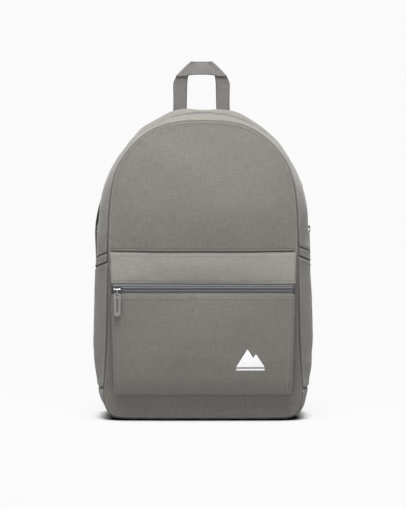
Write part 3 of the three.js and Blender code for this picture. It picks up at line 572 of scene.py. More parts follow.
STITCHES = {}
def stitches(body_key, path, normal, pitch=3.1, gap=0.75, r=0.26, lift=0.12, offset=0.0):
    """Rows of thread along a path on the surface: each stitch is a small bent capsule that dips at both ends."""
    path, normal = np.array(path, float), np.array(normal, float)
    if normal.ndim == 1:
        normal = np.broadcast_to(normal, path.shape)
    s = np.concatenate([[0], np.cumsum(np.linalg.norm(np.diff(path, axis=0), axis=1))])
    n = int(s[-1] / pitch)
    if n < 1:
        return
    at = lambda q: np.column_stack([np.interp(q, s, path[:, k]) for k in range(3)])
    an = lambda q: np.column_stack([np.interp(q, s, normal[:, k]) for k in range(3)])
    q0 = np.arange(n) * (s[-1] / n)
    L = s[-1] / n - gap
    ts = np.array([0.0, 0.12, 0.5, 0.88, 1.0])
    hs = np.array([-0.45, 0.3, 0.75, 0.3, -0.45]) * r * 1.6 + lift
    rs = np.array([0.35, 0.9, 1.0, 0.9, 0.35]) * r
    K = 6
    ang = np.arange(K) / K * math.tau
    V = []
    for t_, h_, r_ in zip(ts, hs, rs):
        q = q0 + gap / 2 + t_ * L
        p, nn = at(q), an(q)
        nn /= np.linalg.norm(nn, axis=1, keepdims=True)
        d = at(q + 0.3) - at(q - 0.3)
        d /= np.maximum(np.linalg.norm(d, axis=1, keepdims=True), 1e-9)
        sd = np.cross(d, nn)
        p = p + nn * h_ + sd * offset
        V.append(p[:, None, :] + r_ * (np.cos(ang)[None, :, None] * sd[:, None, :] + np.sin(ang)[None, :, None] * nn[:, None, :]))
    V = np.stack(V, axis=1)  # n, 5, K, 3
    base = (np.arange(n) * 5 * K)[:, None, None]
    i = np.arange(4)[:, None] * K
    j = np.arange(K)[None, :]
    j2 = (j + 1) % K
    f = np.stack([i + j, i + j2, i + K + j2, i + K + j], axis=2).reshape(-1, 4)
    faces = (f[None] + (np.arange(n) * 5 * K)[:, None, None]).reshape(-1, 4)
    store = STITCHES.setdefault(body_key, [[], [], 0])
    k0 = store[2]
    store[0].append(V.reshape(-1, 3))
    store[1].append(faces + k0)
    store[2] += n * 5 * K


# ------------------------------------------------------------------ materials
class Mat:
    def __init__(self, name):
        self.m = bpy.data.materials.new(name)
        self.m.use_nodes = True
        self.t = self.m.node_tree
        self.b = self.t.nodes["Principled BSDF"]

    def n(self, kind, **props):
        x = self.t.nodes.new(kind)
        for k, v in props.items():
            setattr(x, k, v)
        return x

    def put(self, sock, v):
        if isinstance(v, bpy.types.NodeSocket):
            self.t.links.new(v, sock)
        elif v is not None:
            sock.default_value = v

    def math(self, op, a, b=None, c=None, clamp=False):
        x = self.n("ShaderNodeMath", operation=op, use_clamp=clamp)
        for i, v in enumerate((a, b, c)):
            if v is not None:
                self.put(x.inputs[i], v)
        return x.outputs[0]

    def comb(self, x, y, z=0.0):
        c = self.n("ShaderNodeCombineXYZ")
        for i, v in enumerate((x, y, z)):
            self.put(c.inputs[i], v)
        return c.outputs[0]

    def noise(self, vec, scale=1.0, detail=2.0, rough=0.5):
        x = self.n("ShaderNodeTexNoise")
        self.put(x.inputs["Vector"], vec)
        x.inputs["Scale"].default_value = scale
        x.inputs["Detail"].default_value = detail
        x.inputs["Roughness"].default_value = rough
        return x.outputs["Fac"]

    def mapr(self, v, a, b, c, d):
        x = self.n("ShaderNodeMapRange")
        self.put(x.inputs["Value"], v)
        for k, q in (("From Min", a), ("From Max", b), ("To Min", c), ("To Max", d)):
            x.inputs[k].default_value = q
        return x.outputs["Result"]

    def mix(self, fac, a, b):
        x = self.n("ShaderNodeMix", data_type="RGBA")
        self.put(x.inputs["Factor"], fac)
        self.put(x.inputs[6], a)
        self.put(x.inputs[7], b)
        return x.outputs[2]

    def scale_color(self, col, k):
        x = self.n("ShaderNodeVectorMath", operation="SCALE")
        self.put(x.inputs[0], col)
        self.put(x.inputs["Scale"], k)
        return x.outputs[0]

    def attr(self, name):
        return self.n("ShaderNodeAttribute", attribute_name=name)

    def object_co(self):
        return self.n("ShaderNodeTexCoord").outputs["Object"]

    def bump(self, h, strength, dist, normal=None):
        x = self.n("ShaderNodeBump")
        x.inputs["Strength"].default_value = strength
        x.inputs["Distance"].default_value = dist
        self.put(x.inputs["Height"], h)
        if normal is not None:
            self.put(x.inputs["Normal"], normal)
        return x.outputs["Normal"]

    def set(self, **kw):
        for k, v in kw.items():
            self.put(self.b.inputs[k.replace("_", " ")], v)


def yarn_uv(M, pitch_u, pitch_v):
    s = M.n("ShaderNodeSeparateXYZ")
    M.t.links.new(M.attr("wv").outputs["Vector"], s.inputs[0])
    return M.math("MULTIPLY", s.outputs[0], 1000.0 / pitch_u), M.math("MULTIPLY", s.outputs[1], 1000.0 / pitch_v), s


def weave(M, U, V):
    fu, fv = M.math("FRACT", U), M.math("FRACT", V)
    iu, iv = M.math("FLOOR", U), M.math("FLOOR", V)
    par = M.math("MODULO", M.math("ADD", M.math("ADD", iu, iv), 10000.0), 2.0)
    su = M.math("SINE", M.math("MULTIPLY", fu, math.pi))
    sv = M.math("SINE", M.math("MULTIPLY", fv, math.pi))
    hw = M.math("MULTIPLY", M.math("POWER", su, 0.6), M.math("MULTIPLY_ADD", sv, 0.45, 0.55))
    hf = M.math("MULTIPLY", M.math("POWER", sv, 0.6), M.math("MULTIPLY_ADD", su, 0.45, 0.55))
    h = M.math("ADD", M.math("MULTIPLY", par, hw), M.math("MULTIPLY", M.math("SUBTRACT", 1.0, par), hf))
    return h, par, iu, iv


def canvas(name, base, pitch=0.62, melange=0.12, bump=0.5, rough=0.86, sheen=0.22, cloud=0.035, slub=0.42):
    M = Mat(name)
    U, V, sep = yarn_uv(M, pitch, pitch)
    h, par, iu, iv = weave(M, U, V)
    warp = M.noise(M.comb(M.math("MULTIPLY", iu, 1.731), M.math("MULTIPLY", V, 0.085), 3.0), 1.0, 1.0)
    weft = M.noise(M.comb(M.math("MULTIPLY", U, 0.085), M.math("MULTIPLY", iv, 1.731), 9.0), 1.0, 1.0)
    yarn = M.math("ADD", M.math("MULTIPLY", par, warp), M.math("MULTIPLY", M.math("SUBTRACT", 1.0, par), weft))
    s1 = M.noise(M.comb(M.math("MULTIPLY", U, 0.42), M.math("MULTIPLY", V, 0.035), 1.0), 1.0, 2.0)
    s2 = M.noise(M.comb(M.math("MULTIPLY", U, 0.035), M.math("MULTIPLY", V, 0.42), 5.0), 1.0, 2.0)
    co = M.object_co()
    big = M.noise(co, 14.0, 3.0)
    fuzz = M.noise(co, 2600.0, 2.0, 0.7)
    k = M.math("MULTIPLY_ADD", M.math("SUBTRACT", yarn, 0.5), melange * 2.2, 1.0)
    k = M.math("MULTIPLY_ADD", M.math("SUBTRACT", M.math("ADD", s1, s2), 1.0), slub, k)
    k = M.math("MULTIPLY_ADD", M.math("SUBTRACT", big, 0.5), cloud * 2, k)
    # the weave's hollows are darker than the yarn tops: painted shade between the yarns
    k = M.math("MULTIPLY", k, M.math("MULTIPLY_ADD", h, 0.30, 0.79))
    # painted shade: the seam attribute darkens the cloth by up to 80% along seams and pad edges, standing in for the
    # shadow in the seam grooves
    seam = M.attr("seam").outputs["Fac"]
    k = M.math("MULTIPLY", k, M.math("MULTIPLY_ADD", seam, -0.80, 1.0))
    k = M.math("MAXIMUM", k, 0.10)
    M.set(Base_Color=M.scale_color(tuple(base) , k), Roughness=M.mapr(fuzz, 0.3, 0.7, rough - 0.06, min(1, rough + 0.07)),
          Sheen_Weight=sheen, Sheen_Roughness=0.45, Specular_IOR_Level=0.25)
    n1 = M.bump(h, bump, 0.00022)
    n2 = M.bump(fuzz, 0.25, 0.0001, n1)
    M.set(Normal=n2)
    return M.m


def ribbed(name, base, pitch=1.25, rough=0.75, bump=0.8, slope=0.55, half=10.0, edge_dark=0.22, rib_k=0.17):
    """Webbing: chevron ribs across its width, a bound selvedge at each edge."""
    M = Mat(name)
    s = M.n("ShaderNodeSeparateXYZ")
    M.t.links.new(M.attr("wv").outputs["Vector"], s.inputs[0])
    u = M.math("MULTIPLY", s.outputs[0], 1000.0)
    v = M.math("MULTIPLY", s.outputs[1], 1000.0)
    au = M.math("ABSOLUTE", u)
    tri = M.math("PINGPONG", M.math("ADD", u, 200.0), 2.6)
    ph = M.math("MULTIPLY_ADD", tri, slope, v)
    rib = M.math("SINE", M.math("MULTIPLY", ph, math.tau / pitch))
    yarn = M.math("SINE", M.math("MULTIPLY", u, math.tau / 0.65))
    h = M.math("ADD", M.math("MULTIPLY", rib, 0.5), M.math("MULTIPLY", yarn, 0.28))
    edge = M.mapr(au, half - 1.6, half - 0.7, 0.0, 1.0)
    co = M.object_co()
    fl = M.noise(M.comb(M.math("MULTIPLY", u, 1.4), M.math("MULTIPLY", v, 0.25)), 1.0, 2.0)
    fuzz = M.noise(co, 2200.0, 2.0, 0.7)
    # rib hollows darker than the crests: painted shade in the ribs
    k = M.math("MULTIPLY_ADD", h, rib_k, 0.95)
    k = M.math("MULTIPLY_ADD", M.math("SUBTRACT", fl, 0.5), 0.75, k)
    k = M.math("MULTIPLY", k, M.math("MULTIPLY_ADD", edge, -edge_dark, 1.0))
    M.set(Base_Color=M.scale_color(tuple(base), k), Roughness=M.mapr(fuzz, 0.3, 0.7, rough - 0.08, rough + 0.08), Sheen_Weight=0.3, Sheen_Roughness=0.4, Specular_IOR_Level=0.3)
    M.set(Normal=M.bump(fuzz, 0.2, 0.0001, M.bump(h, bump, 0.00028)))
    return M.m


def spacer(name, base=(0.012, 0.012, 0.013)):
    """Open hexagon spacer mesh over foam."""
    M = Mat(name)
    U, V, _ = yarn_uv(M, 2.9, 2.5)
    a = M.math("SINE", M.math("MULTIPLY", M.math("ADD", U, M.math("MULTIPLY", V, 0.5)), math.pi))
    b = M.math("SINE", M.math("MULTIPLY", M.math("SUBTRACT", U, M.math("MULTIPLY", V, 0.5)), math.pi))
    c = M.math("ABSOLUTE", M.math("MULTIPLY", a, b))
    hole = M.mapr(c, 0.45, 0.72, 0.0, 1.0)
    fuzz = M.noise(M.object_co(), 1900.0, 2.0, 0.7)
    # the open cells are darkened to about a quarter: painted shade inside the holes
    k = M.math("MULTIPLY", M.math("MULTIPLY_ADD", hole, -0.72, 1.0), M.math("MULTIPLY_ADD", fuzz, 0.9, 0.6))
    h = M.math("MULTIPLY", hole, -1.0)
    M.set(Base_Color=M.scale_color(tuple(base), k), Roughness=0.8, Sheen_Weight=0.12, Sheen_Roughness=0.4, Specular_IOR_Level=0.3)
    M.set(Normal=M.bump(fuzz, 0.25, 0.0001, M.bump(h, 0.9, 0.0006)))
    return M.m


def zip_tape_mat(name, base, coil_w=2.5, slit_w=0.15):
    M = Mat(name)
    s = M.n("ShaderNodeSeparateXYZ")
    M.t.links.new(M.attr("wv").outputs["Vector"], s.inputs[0])
    u = M.math("MULTIPLY", s.outputs[0], 1000.0)
    v = M.math("MULTIPLY", s.outputs[1], 1000.0)
    au = M.math("ABSOLUTE", u)
    ribs = M.math("SINE", M.math("MULTIPLY", v, math.tau / 1.35))
    fine = M.math("SINE", M.math("MULTIPLY", M.math("ADD", au, M.math("MULTIPLY", v, 0.5)), math.tau / 0.7))
    coil = M.mapr(au, coil_w, coil_w + 0.6, 1.0, 0.0)
    h = M.math("ADD", M.math("MULTIPLY", M.math("MULTIPLY", ribs, coil), 0.8), M.math("MULTIPLY", fine, 0.3))
    # the centre slit and a line beside each coil edge are darkened, and the rib hollows too: painted shade in the gaps
    # and grooves
    slit_shade = M.mapr(au, slit_w, slit_w + 0.7, 0.0, 1.0)
    groove = M.mapr(M.math("ABSOLUTE", M.math("SUBTRACT", au, coil_w + 0.7)), 0.15, 0.9, 0.42, 1.0)
    fuzz = M.noise(M.object_co(), 2400.0, 2.0, 0.7)
    k = M.math("MULTIPLY", M.math("MULTIPLY_ADD", h, 0.14, 0.97), M.math("MULTIPLY", M.math("MULTIPLY_ADD", slit_shade, 0.75, 0.25), groove))
    k = M.math("MULTIPLY_ADD", M.math("SUBTRACT", fuzz, 0.5), 0.35, k)
    M.set(Base_Color=M.scale_color(tuple(base), k), Roughness=0.72, Sheen_Weight=0.15, Specular_IOR_Level=0.35)
    M.set(Normal=M.bump(h, 0.7, 0.00025))
    return M.m


def metal_mat(name, base=(0.17, 0.17, 0.168), rough=0.22):
    M = Mat(name)
    co = M.object_co()
    a = M.noise(co, 420.0, 4.0, 0.6)
    b = M.noise(M.comb(0.0, 0.0, 0.0), 1.0)
    sc = M.n("ShaderNodeMapping")
    M.t.links.new(co, sc.inputs["Vector"])
    sc.inputs["Scale"].default_value = (260, 2600, 700)
    s = M.noise(sc.outputs[0], 1.0, 2.0)
    M.set(Base_Color=M.scale_color(tuple(base), M.mapr(a, 0.3, 0.7, 0.85, 1.12)), Metallic=1.0, Roughness=M.mapr(s, 0.3, 0.75, rough - 0.06, rough + 0.16))
    M.set(Normal=M.bump(s, 0.06, 0.00005))
    return M.m


def moulded(name, base, rough=0.5, grain=900.0, depth=0.18, coat=0.0):
    M = Mat(name)
    co = M.object_co()
    g = M.noise(co, grain, 3.0, 0.6)
    w = M.noise(co, 60.0, 3.0)
    M.set(Base_Color=M.scale_color(tuple(base), M.mapr(w, 0.3, 0.7, 0.9, 1.1)), Roughness=M.mapr(g, 0.3, 0.7, rough - 0.08, rough + 0.1), Specular_IOR_Level=0.45)
    M.set(Normal=M.bump(g, depth, 0.0001))
    return M.m


def thread_mat(name, base):
    M = Mat(name)
    co = M.object_co()
    g = M.noise(co, 1800.0, 2.0, 0.6)
    M.set(Base_Color=M.scale_color(tuple(base), M.mapr(g, 0.3, 0.7, 0.8, 1.15)), Roughness=0.6, Sheen_Weight=0.2, Specular_IOR_Level=0.4)
    M.set(Normal=M.bump(g, 0.3, 0.0001))
    return M.m


def print_mat(name, base):
    M = Mat(name)
    U, V, _ = yarn_uv(M, 0.82, 0.82)
    h, *_ = weave(M, U, V)
    g = M.noise(M.object_co(), 500.0, 3.0)
    M.set(Base_Color=M.scale_color(tuple(base), M.mapr(g, 0.3, 0.7, 0.94, 1.03)), Roughness=0.55, Specular_IOR_Level=0.35)
    M.set(Normal=M.bump(h, 0.25, 0.0002))
    return M.m


TAUPE = (0.148, 0.1405, 0.1275)
CANVAS = canvas("canvas", TAUPE)
CANVAS_SIDE = canvas("canvas_side", TAUPE)
# a darker copy of the canvas (94%) for the pocket's lower panel: painted shade
CANVAS_POCKET_SHADED = canvas("canvas_pocket", tuple(0.94 * c for c in TAUPE))
LINING = canvas("lining", (0.075, 0.074, 0.077), pitch=0.45, melange=0.1, bump=0.25, rough=0.6, sheen=0.1, cloud=0.03)
MESH = spacer("spacer_mesh")
# dark cloth for the pocket zip's end tabs; it also paints the shadow lines at the pocket's top seam
DARK_CLOTH_AND_SHADOW = canvas("zip_end_cloth", (0.060, 0.058, 0.056), pitch=0.45, melange=0.1, bump=0.3, rough=0.7, sheen=0.1, cloud=0.03)
BINDING = ribbed("binding", (0.115, 0.110, 0.102), pitch=0.9, half=40.0, bump=0.5)
BINDING_BLACK = ribbed("binding_black", (0.014, 0.014, 0.015), pitch=0.9, half=40.0, bump=0.5)
WEB = ribbed("webbing", (0.150, 0.145, 0.136), half=10.0)
WEB25 = ribbed("webbing_wide", (0.140, 0.135, 0.127), half=12.0)
TAPE = zip_tape_mat("zip_tape", (0.130, 0.132, 0.142))
POCKET_TAPE = zip_tape_mat("zip_tape_wide", (0.115, 0.117, 0.127), 3.3, 0.35)
METAL_BRIGHT = metal_mat("slider_metal", (0.40, 0.40, 0.395), 0.2)
METAL_SIDE = metal_mat("slider_metal_side", (0.15, 0.15, 0.148), 0.34)
METAL = METAL_SIDE
# a near-black metal that paints the shade in the sliders' gaps
METAL_PAINTED_SHADE = metal_mat("slider_metal_dark", (0.075, 0.075, 0.075), 0.3)
RUBBER = moulded("puller_rubber", (0.150, 0.145, 0.136), 0.5)
RUBBER_GROOVE_SHADE = moulded("puller_groove_shade", (0.055, 0.053, 0.050), 0.6)
PLASTIC = moulded("lock_plastic", (0.018, 0.018, 0.019), 0.42, 1400.0, 0.12)
# the thread is lighter than the canvas so the stitch rows read as bright lines: thread colour plus a painted highlight
# of the raised stitching
THREAD_AND_HIGHLIGHT = thread_mat("thread", (0.235, 0.225, 0.205))
THREAD_DARK = thread_mat("thread_dark", (0.02, 0.02, 0.021))
PRINT = print_mat("transfer_print", (0.72, 0.72, 0.735))

# ------------------------------------------------------------------ floor
FLOOR_ALBEDO, FLOOR_GLOW = 0.04, 0.87


def make_floor():
    M = Mat("floor")
    g = M.noise(M.object_co(), 6.0, 3.0)
    M.set(Base_Color=M.scale_color((FLOOR_ALBEDO, FLOOR_ALBEDO, FLOOR_ALBEDO), M.mapr(g, 0.2, 0.8, 0.995, 1.005)), Roughness=0.95, Specular_IOR_Level=0.0)
    # the pale glow stands for bounced studio light, so it fades where the bag shuts that light out
    ao = M.n("ShaderNodeAmbientOcclusion", samples=8)
    ao.inputs["Distance"].default_value = 0.035
    lit = M.n("ShaderNodeMapRange", interpolation_type="SMOOTHSTEP")
    M.put(lit.inputs["Value"], ao.outputs["AO"])
    for key, q in (("From Min", 0.42), ("From Max", 0.60), ("To Min", 0.0), ("To Max", 1.0)):
        lit.inputs[key].default_value = q
    M.set(Emission_Color=(1.0, 1.0, 1.0, 1.0), Emission_Strength=M.math("MULTIPLY", lit.outputs["Result"], FLOOR_GLOW))
    bm = bmesh.new()
    rings = [0.0, 0.4, 1.0, 2.5, 6.0, 14.0, 30.0]
    last = None
    for r in rings:
        cur = [bm.verts.new((r * math.cos(a), r * math.sin(a), 0.0)) for a in np.arange(64) / 64 * math.tau] if r else [bm.verts.new((0, 0, 0))]
        if last:
            for i in range(64):
                if len(last) == 1:
                    bm.faces.new((last[0], cur[i], cur[(i + 1) % 64]))
                else:
                    bm.faces.new((last[i], cur[i], cur[(i + 1) % 64], last[(i + 1) % 64]))
        last = cur
    me = bpy.data.meshes.new("floor")
    bm.to_mesh(me)
    bm.free()
    me.materials.append(M.m)
    o = link(bpy.data.objects.new("floor", me))
    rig.stage(o)


make_floor()

# ------------------------------------------------------------------ cloth
def inflate(o, pin, pressure=4.0, frames=20, cap=8.0, stiff=12.0, bend=1.5, shrink=0.0, quality=6):
    """Cloth filled by pressure: the pinned points (weights per vertex) hold the seams, and no point moves further
    than cap mm. The result is applied and no Cloth is left on the piece."""
    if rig.quick():
        return o
    n = len(o.data.vertices)
    co = co_of(o)
    g = o.vertex_groups.new(name="pin")
    for i in np.flatnonzero(pin > 0.01):
        g.add([int(i)], float(min(1.0, pin[i])), "REPLACE")
    c = o.modifiers.new("cloth", "CLOTH")
    s = c.settings
    s.quality = quality
    s.mass = 0.25
    s.tension_stiffness = s.compression_stiffness = stiff
    s.shear_stiffness = stiff * 0.5
    s.bending_stiffness = bend
    s.shrink_min = shrink
    s.use_pressure = True
    s.uniform_pressure_force = pressure
    s.effector_weights.gravity = 0.0
    s.vertex_group_mass = "pin"
    s.pin_stiffness = 1.0
    c.point_cache.frame_start = 1
    c.point_cache.frame_end = frames
    for f in range(1, frames + 1):
        scene.frame_set(f)
    ev = o.evaluated_get(bpy.context.evaluated_depsgraph_get())
    out = np.zeros(n * 3)
    ev.data.vertices.foreach_get("co", out)
    d = out.reshape(-1, 3) - co
    l = np.linalg.norm(d, axis=1, keepdims=True)
    d *= np.minimum(1.0, cap / 1000 / np.maximum(l, 1e-9))
    o.modifiers.remove(c)
    o.vertex_groups.clear()
    set_co(o, co + d)
    scene.frame_set(1)
    return o


def co_of(o):
    co = np.zeros(len(o.data.vertices) * 3)
    o.data.vertices.foreach_get("co", co)
    return co.reshape(-1, 3)


def set_co(o, co):
    o.data.vertices.foreach_set("co", np.asarray(co, float).ravel())
    o.data.update()


def normals_of(o):
    o.data.update()
    n = np.zeros(len(o.data.vertices) * 3)
    o.data.vertex_normals.foreach_get("vector", n)
    return n.reshape(-1, 3)


def shade_smooth(o):
    o.data.polygons.foreach_set("use_smooth", np.ones(len(o.data.polygons), bool))


# sets the seam value, which the cloth turns into painted shade
def set_seam_shade(o, value):
    a = o.data.attributes.get("seam") or o.data.attributes.new("seam", "FLOAT", "POINT")
    a.data.foreach_set("value", np.asarray(value, np.float32))


# ------------------------------------------------------------------ bag front
_fs = FRONT_SEAM[FRONT_SEAM[:, 0] > -0.5]
_order = np.argsort(_fs[:, 1])


def half_at(z):
    return np.interp(z, _fs[_order, 1], np.maximum.accumulate(_fs[_order, 0]) if False else _fs[_order, 0])


SWELL = 6.0


def front_surf(x, z):
    x, z = np.asarray(x, float), np.asarray(z, float)
    w = np.maximum(half_at(z), 20.0)
    u = np.minimum(np.abs(x) / w, 1.0)
    v = np.minimum(np.abs(z - 212) / 220, 1.0)
    y = front_y(z) - 8 * (1 - u ** 2.6) * (1 - np.where(z > 212, v ** 2.6, v ** 4))
    # above the pocket the filled upper half stands out, then leans back all the way up
    y = y - SWELL * (1 - u ** 2.2) * smooth((z - 215) / 95) * (1 - smooth((z - 300) / 135))
    soft = smooth((1 - u) * 3.2) * smooth((1 - v) * 5)
    y = y + soft * (0.45 * field(x, z, 150.0, 11, 10) + 0.16 * field(x, z, 62.0, 5, 10, (1.0, 0.7)))
    # soft drag folds that run out of the two zip ends
    for sx in (-1, 1):
        d = (x * sx - 128) * 0.8 + (z - 262) * 0.6
        e = -(x * sx - 128) * 0.6 + (z - 262) * 0.8
        y = y + soft * 0.8 * np.exp(-(e / 13) ** 2) * np.exp(-((d + 40) / 42) ** 2) * (1 if sx > 0 else 0.6)
    return y


def outline_full(half, n_step):
    """The closed outline from the bottom centre, up the right side, over the top and down the left."""
    h = half[half[:, 0] >= -0.5]
    right = h[::-1]
    left = h.copy()
    left[:, 0] *= -1
    pts = np.vstack([right, left[1:-1]])
    s = np.concatenate([[0], np.cumsum(np.linalg.norm(np.diff(np.vstack([pts, pts[:1]]), axis=0), axis=1))])
    n = int(s[-1] / n_step)
    t = np.arange(n) / n * s[-1]
    closed = np.vstack([pts, pts[:1]])
    return np.column_stack([np.interp(t, s, closed[:, k]) for k in (0, 1)])


def radial_piece(name, B, centre, yfun, thick, mats, near=(0, .4, .9, 1.5, 2.2, 3.1, 4.2, 5.6, 7.4, 9.6, 12.5, 16), far=26, pucker=0.3, facing=-1, roll_depth=2.0, roll_width=2.6, inner_slot=1, seed=3, seam_shade_extra=None):
    """A panel sewn all round: rings from its outline B (x, z) to its centre."""
    C = np.array(centre, float)
    d = C - B
    L = np.linalg.norm(d, axis=1, keepdims=True)
    u = d / L
    s = np.concatenate([[0], np.cumsum(np.linalg.norm(np.diff(B, axis=0), axis=1))])
    ds = [np.full(len(B), float(k)) for k in near]
    n0 = near[-1]
    for f in np.linspace(0, 1, far + 1)[1:-1]:
        ds.append(n0 + (L[:, 0] - n0) * f)
    rings, offs = [], []
    for dk in ds:
        p = B + u * dk[:, None]
        off = roll(dk, roll_width, roll_depth)
        amp = pucker * np.exp(-((dk - 5.5) / 4.5) ** 2)
        off = off - amp * (np.sin(s / 3.3 + 2.0 * np.sin(s / 21.0)) * 0.5 + field(s, dk * 0.6, 11.0, seed, 8) * 0.5)
        y = yfun(p[:, 0], p[:, 1]) - facing * off
        rings.append(np.column_stack([p[:, 0], y, p[:, 1]]))
        offs.append(dk)
    n, m = len(B), len(rings)
    V = np.vstack(rings)
    c0 = [[C[0], float(yfun(np.array([C[0]]), np.array([C[1]]))[0]), C[1]]]
    outer = np.vstack([V, c0])
    k = len(outer)
    inner = outer.copy()
    lift = np.concatenate([np.concatenate([np.minimum(1, (dk + 1.5) / 4) for dk in offs]), [1.0]])
    inner[:, 1] -= facing * thick * lift
    idx = np.arange(m * n).reshape(m, n)
    nx = np.roll(idx, -1, axis=1)
    q = np.stack([idx[:-1], nx[:-1], nx[1:], idx[1:]], axis=2).reshape(-1, 4).tolist()
    fan = [[int(idx[-1, j]), int(nx[-1, j]), m * n] for j in range(n)]
    o_faces = q + fan
    i_faces = [[v + k for v in f[::-1]] for f in o_faces]
    rim = [[int(idx[0, j]) + k, int(nx[0, j]) + k, int(nx[0, j]), int(idx[0, j])] for j in range(n)]
    mi = [0] * len(o_faces) + [inner_slot if len(mats) > 1 else 0] * len(i_faces) + [0] * len(rim)
    W = np.vstack([outer[:, [0, 2]], outer[:, [0, 2]]]) / 1000
    # painted shade along the sewn outline, kept in the seam value
    sm = np.concatenate([np.concatenate([np.exp(-(dk / 1.15) ** 2) for dk in offs]), [0.0]])
    if seam_shade_extra is not None:
        sm = np.maximum(sm, seam_shade_extra(outer))
    o = mesh_object(name, np.vstack([outer, inner]), o_faces + i_faces + rim, mats, mi, W, seam=np.concatenate([sm, sm]))
    fix_normals(o)
    return o


front = radial_piece("front_panel", outline_full(FRONT_SEAM, 3.0), (0, 212), front_surf, 1.7, [CANVAS, LINING])
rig.replaces(front, "front_lower_panel", "front_upper_panel")
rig.slot(front, "canvas")

# ------------------------------------------------------------------ gusset
def drop(y):
    return BAND_DROP * np.clip((np.asarray(y, float) + 62) / 34, 0, 1)


def band_top(y, side):
    return BAND_TOP_Z - drop(y) - (LEFT_DROP if side < 0 else 0)


ARCH = {s: [station("arch", a, s) for a in np.linspace(0, math.pi / 2, 82)] for s in (-1, 1)}
_side_cache = {}


def side_station(z, side):
    k = (round(z, 2), side)
    if k not in _side_cache:
        _side_cache[k] = station("side", z, side)
    return _side_cache[k]


def side_point(z, y, side):
    return skin(side_station(float(z), side), np.array([y]))[0]


def side_rows(zt, zb, ys, n, side):
    """Rows of points between two levels that are functions of depth."""
    rows = []
    for t in np.linspace(0, 1, n):
        rows.append([side_point(zt(y) + (zb(y) - zt(y)) * t, y, side) for y in ys])
    return np.array(rows)


def cols(a, b, n, tight=True):
    """Depths from a to b, closer together near both ends."""
    if not tight:
        return np.linspace(a, b, n)
    t = np.linspace(0, 1, n)
    edge = [0, .5, 1.1, 1.8, 2.8, 4.2]
    L = abs(b - a)
    mid = np.linspace(6, L - 6, max(3, n - 12))
    d = np.array(edge + mid.tolist() + [L - e for e in edge[::-1]])
    return a + np.sign(b - a) * d


def over_top(ya, yb, n, low, side_n=18, both_front=None):
    """Grid [station][depth] from the low end on the left, over the arch, to the low end on the right."""
    def run(side):
        rows = []
        for st in ARCH[side]:
            y0 = st["ky"][0] + 0.9 if ya is None else ya
            rows.append(skin(st, cols(y0, yb, n)))
        y0 = front_y(270) + 0.9 if ya is None else ya
        ys = cols(y0, yb, n)
        lows = low(ys, side)
        edge = np.array([0, .5, 1.1, 1.8, 2.8, 4.2])
        for t in np.linspace(0, 1, side_n)[1:-1]:
            rows.append([side_point(ZIP_CENTRE_Z + (lows[j] + 4.6 - ZIP_CENTRE_Z) * t, y, side) for j, y in enumerate(ys)])
        for e in edge[::-1]:
            rows.append([side_point(lows[j] + e, y, side) for j, y in enumerate(ys)])
        return rows
    L, R = run(-1), run(1)
    return np.array(L[1:][::-1] + R)


INSIDE = np.array([0.0, 0.0, 220.0])
Z_F, Z_R = ZIP_Y - 4.2, ZIP_Y + 4.2
GX = BACK_Y - 0.2


def soft_gusset(seed, a=0.9, b=0.5):
    def f(lr, lc, P, near):
        k = smooth(near / 14)
        return k * (a * field(lr, lc, 95.0, seed, 10) + b * field(lr, lc, 40.0, seed + 1, 10, (1.0, 0.8)))
    return f


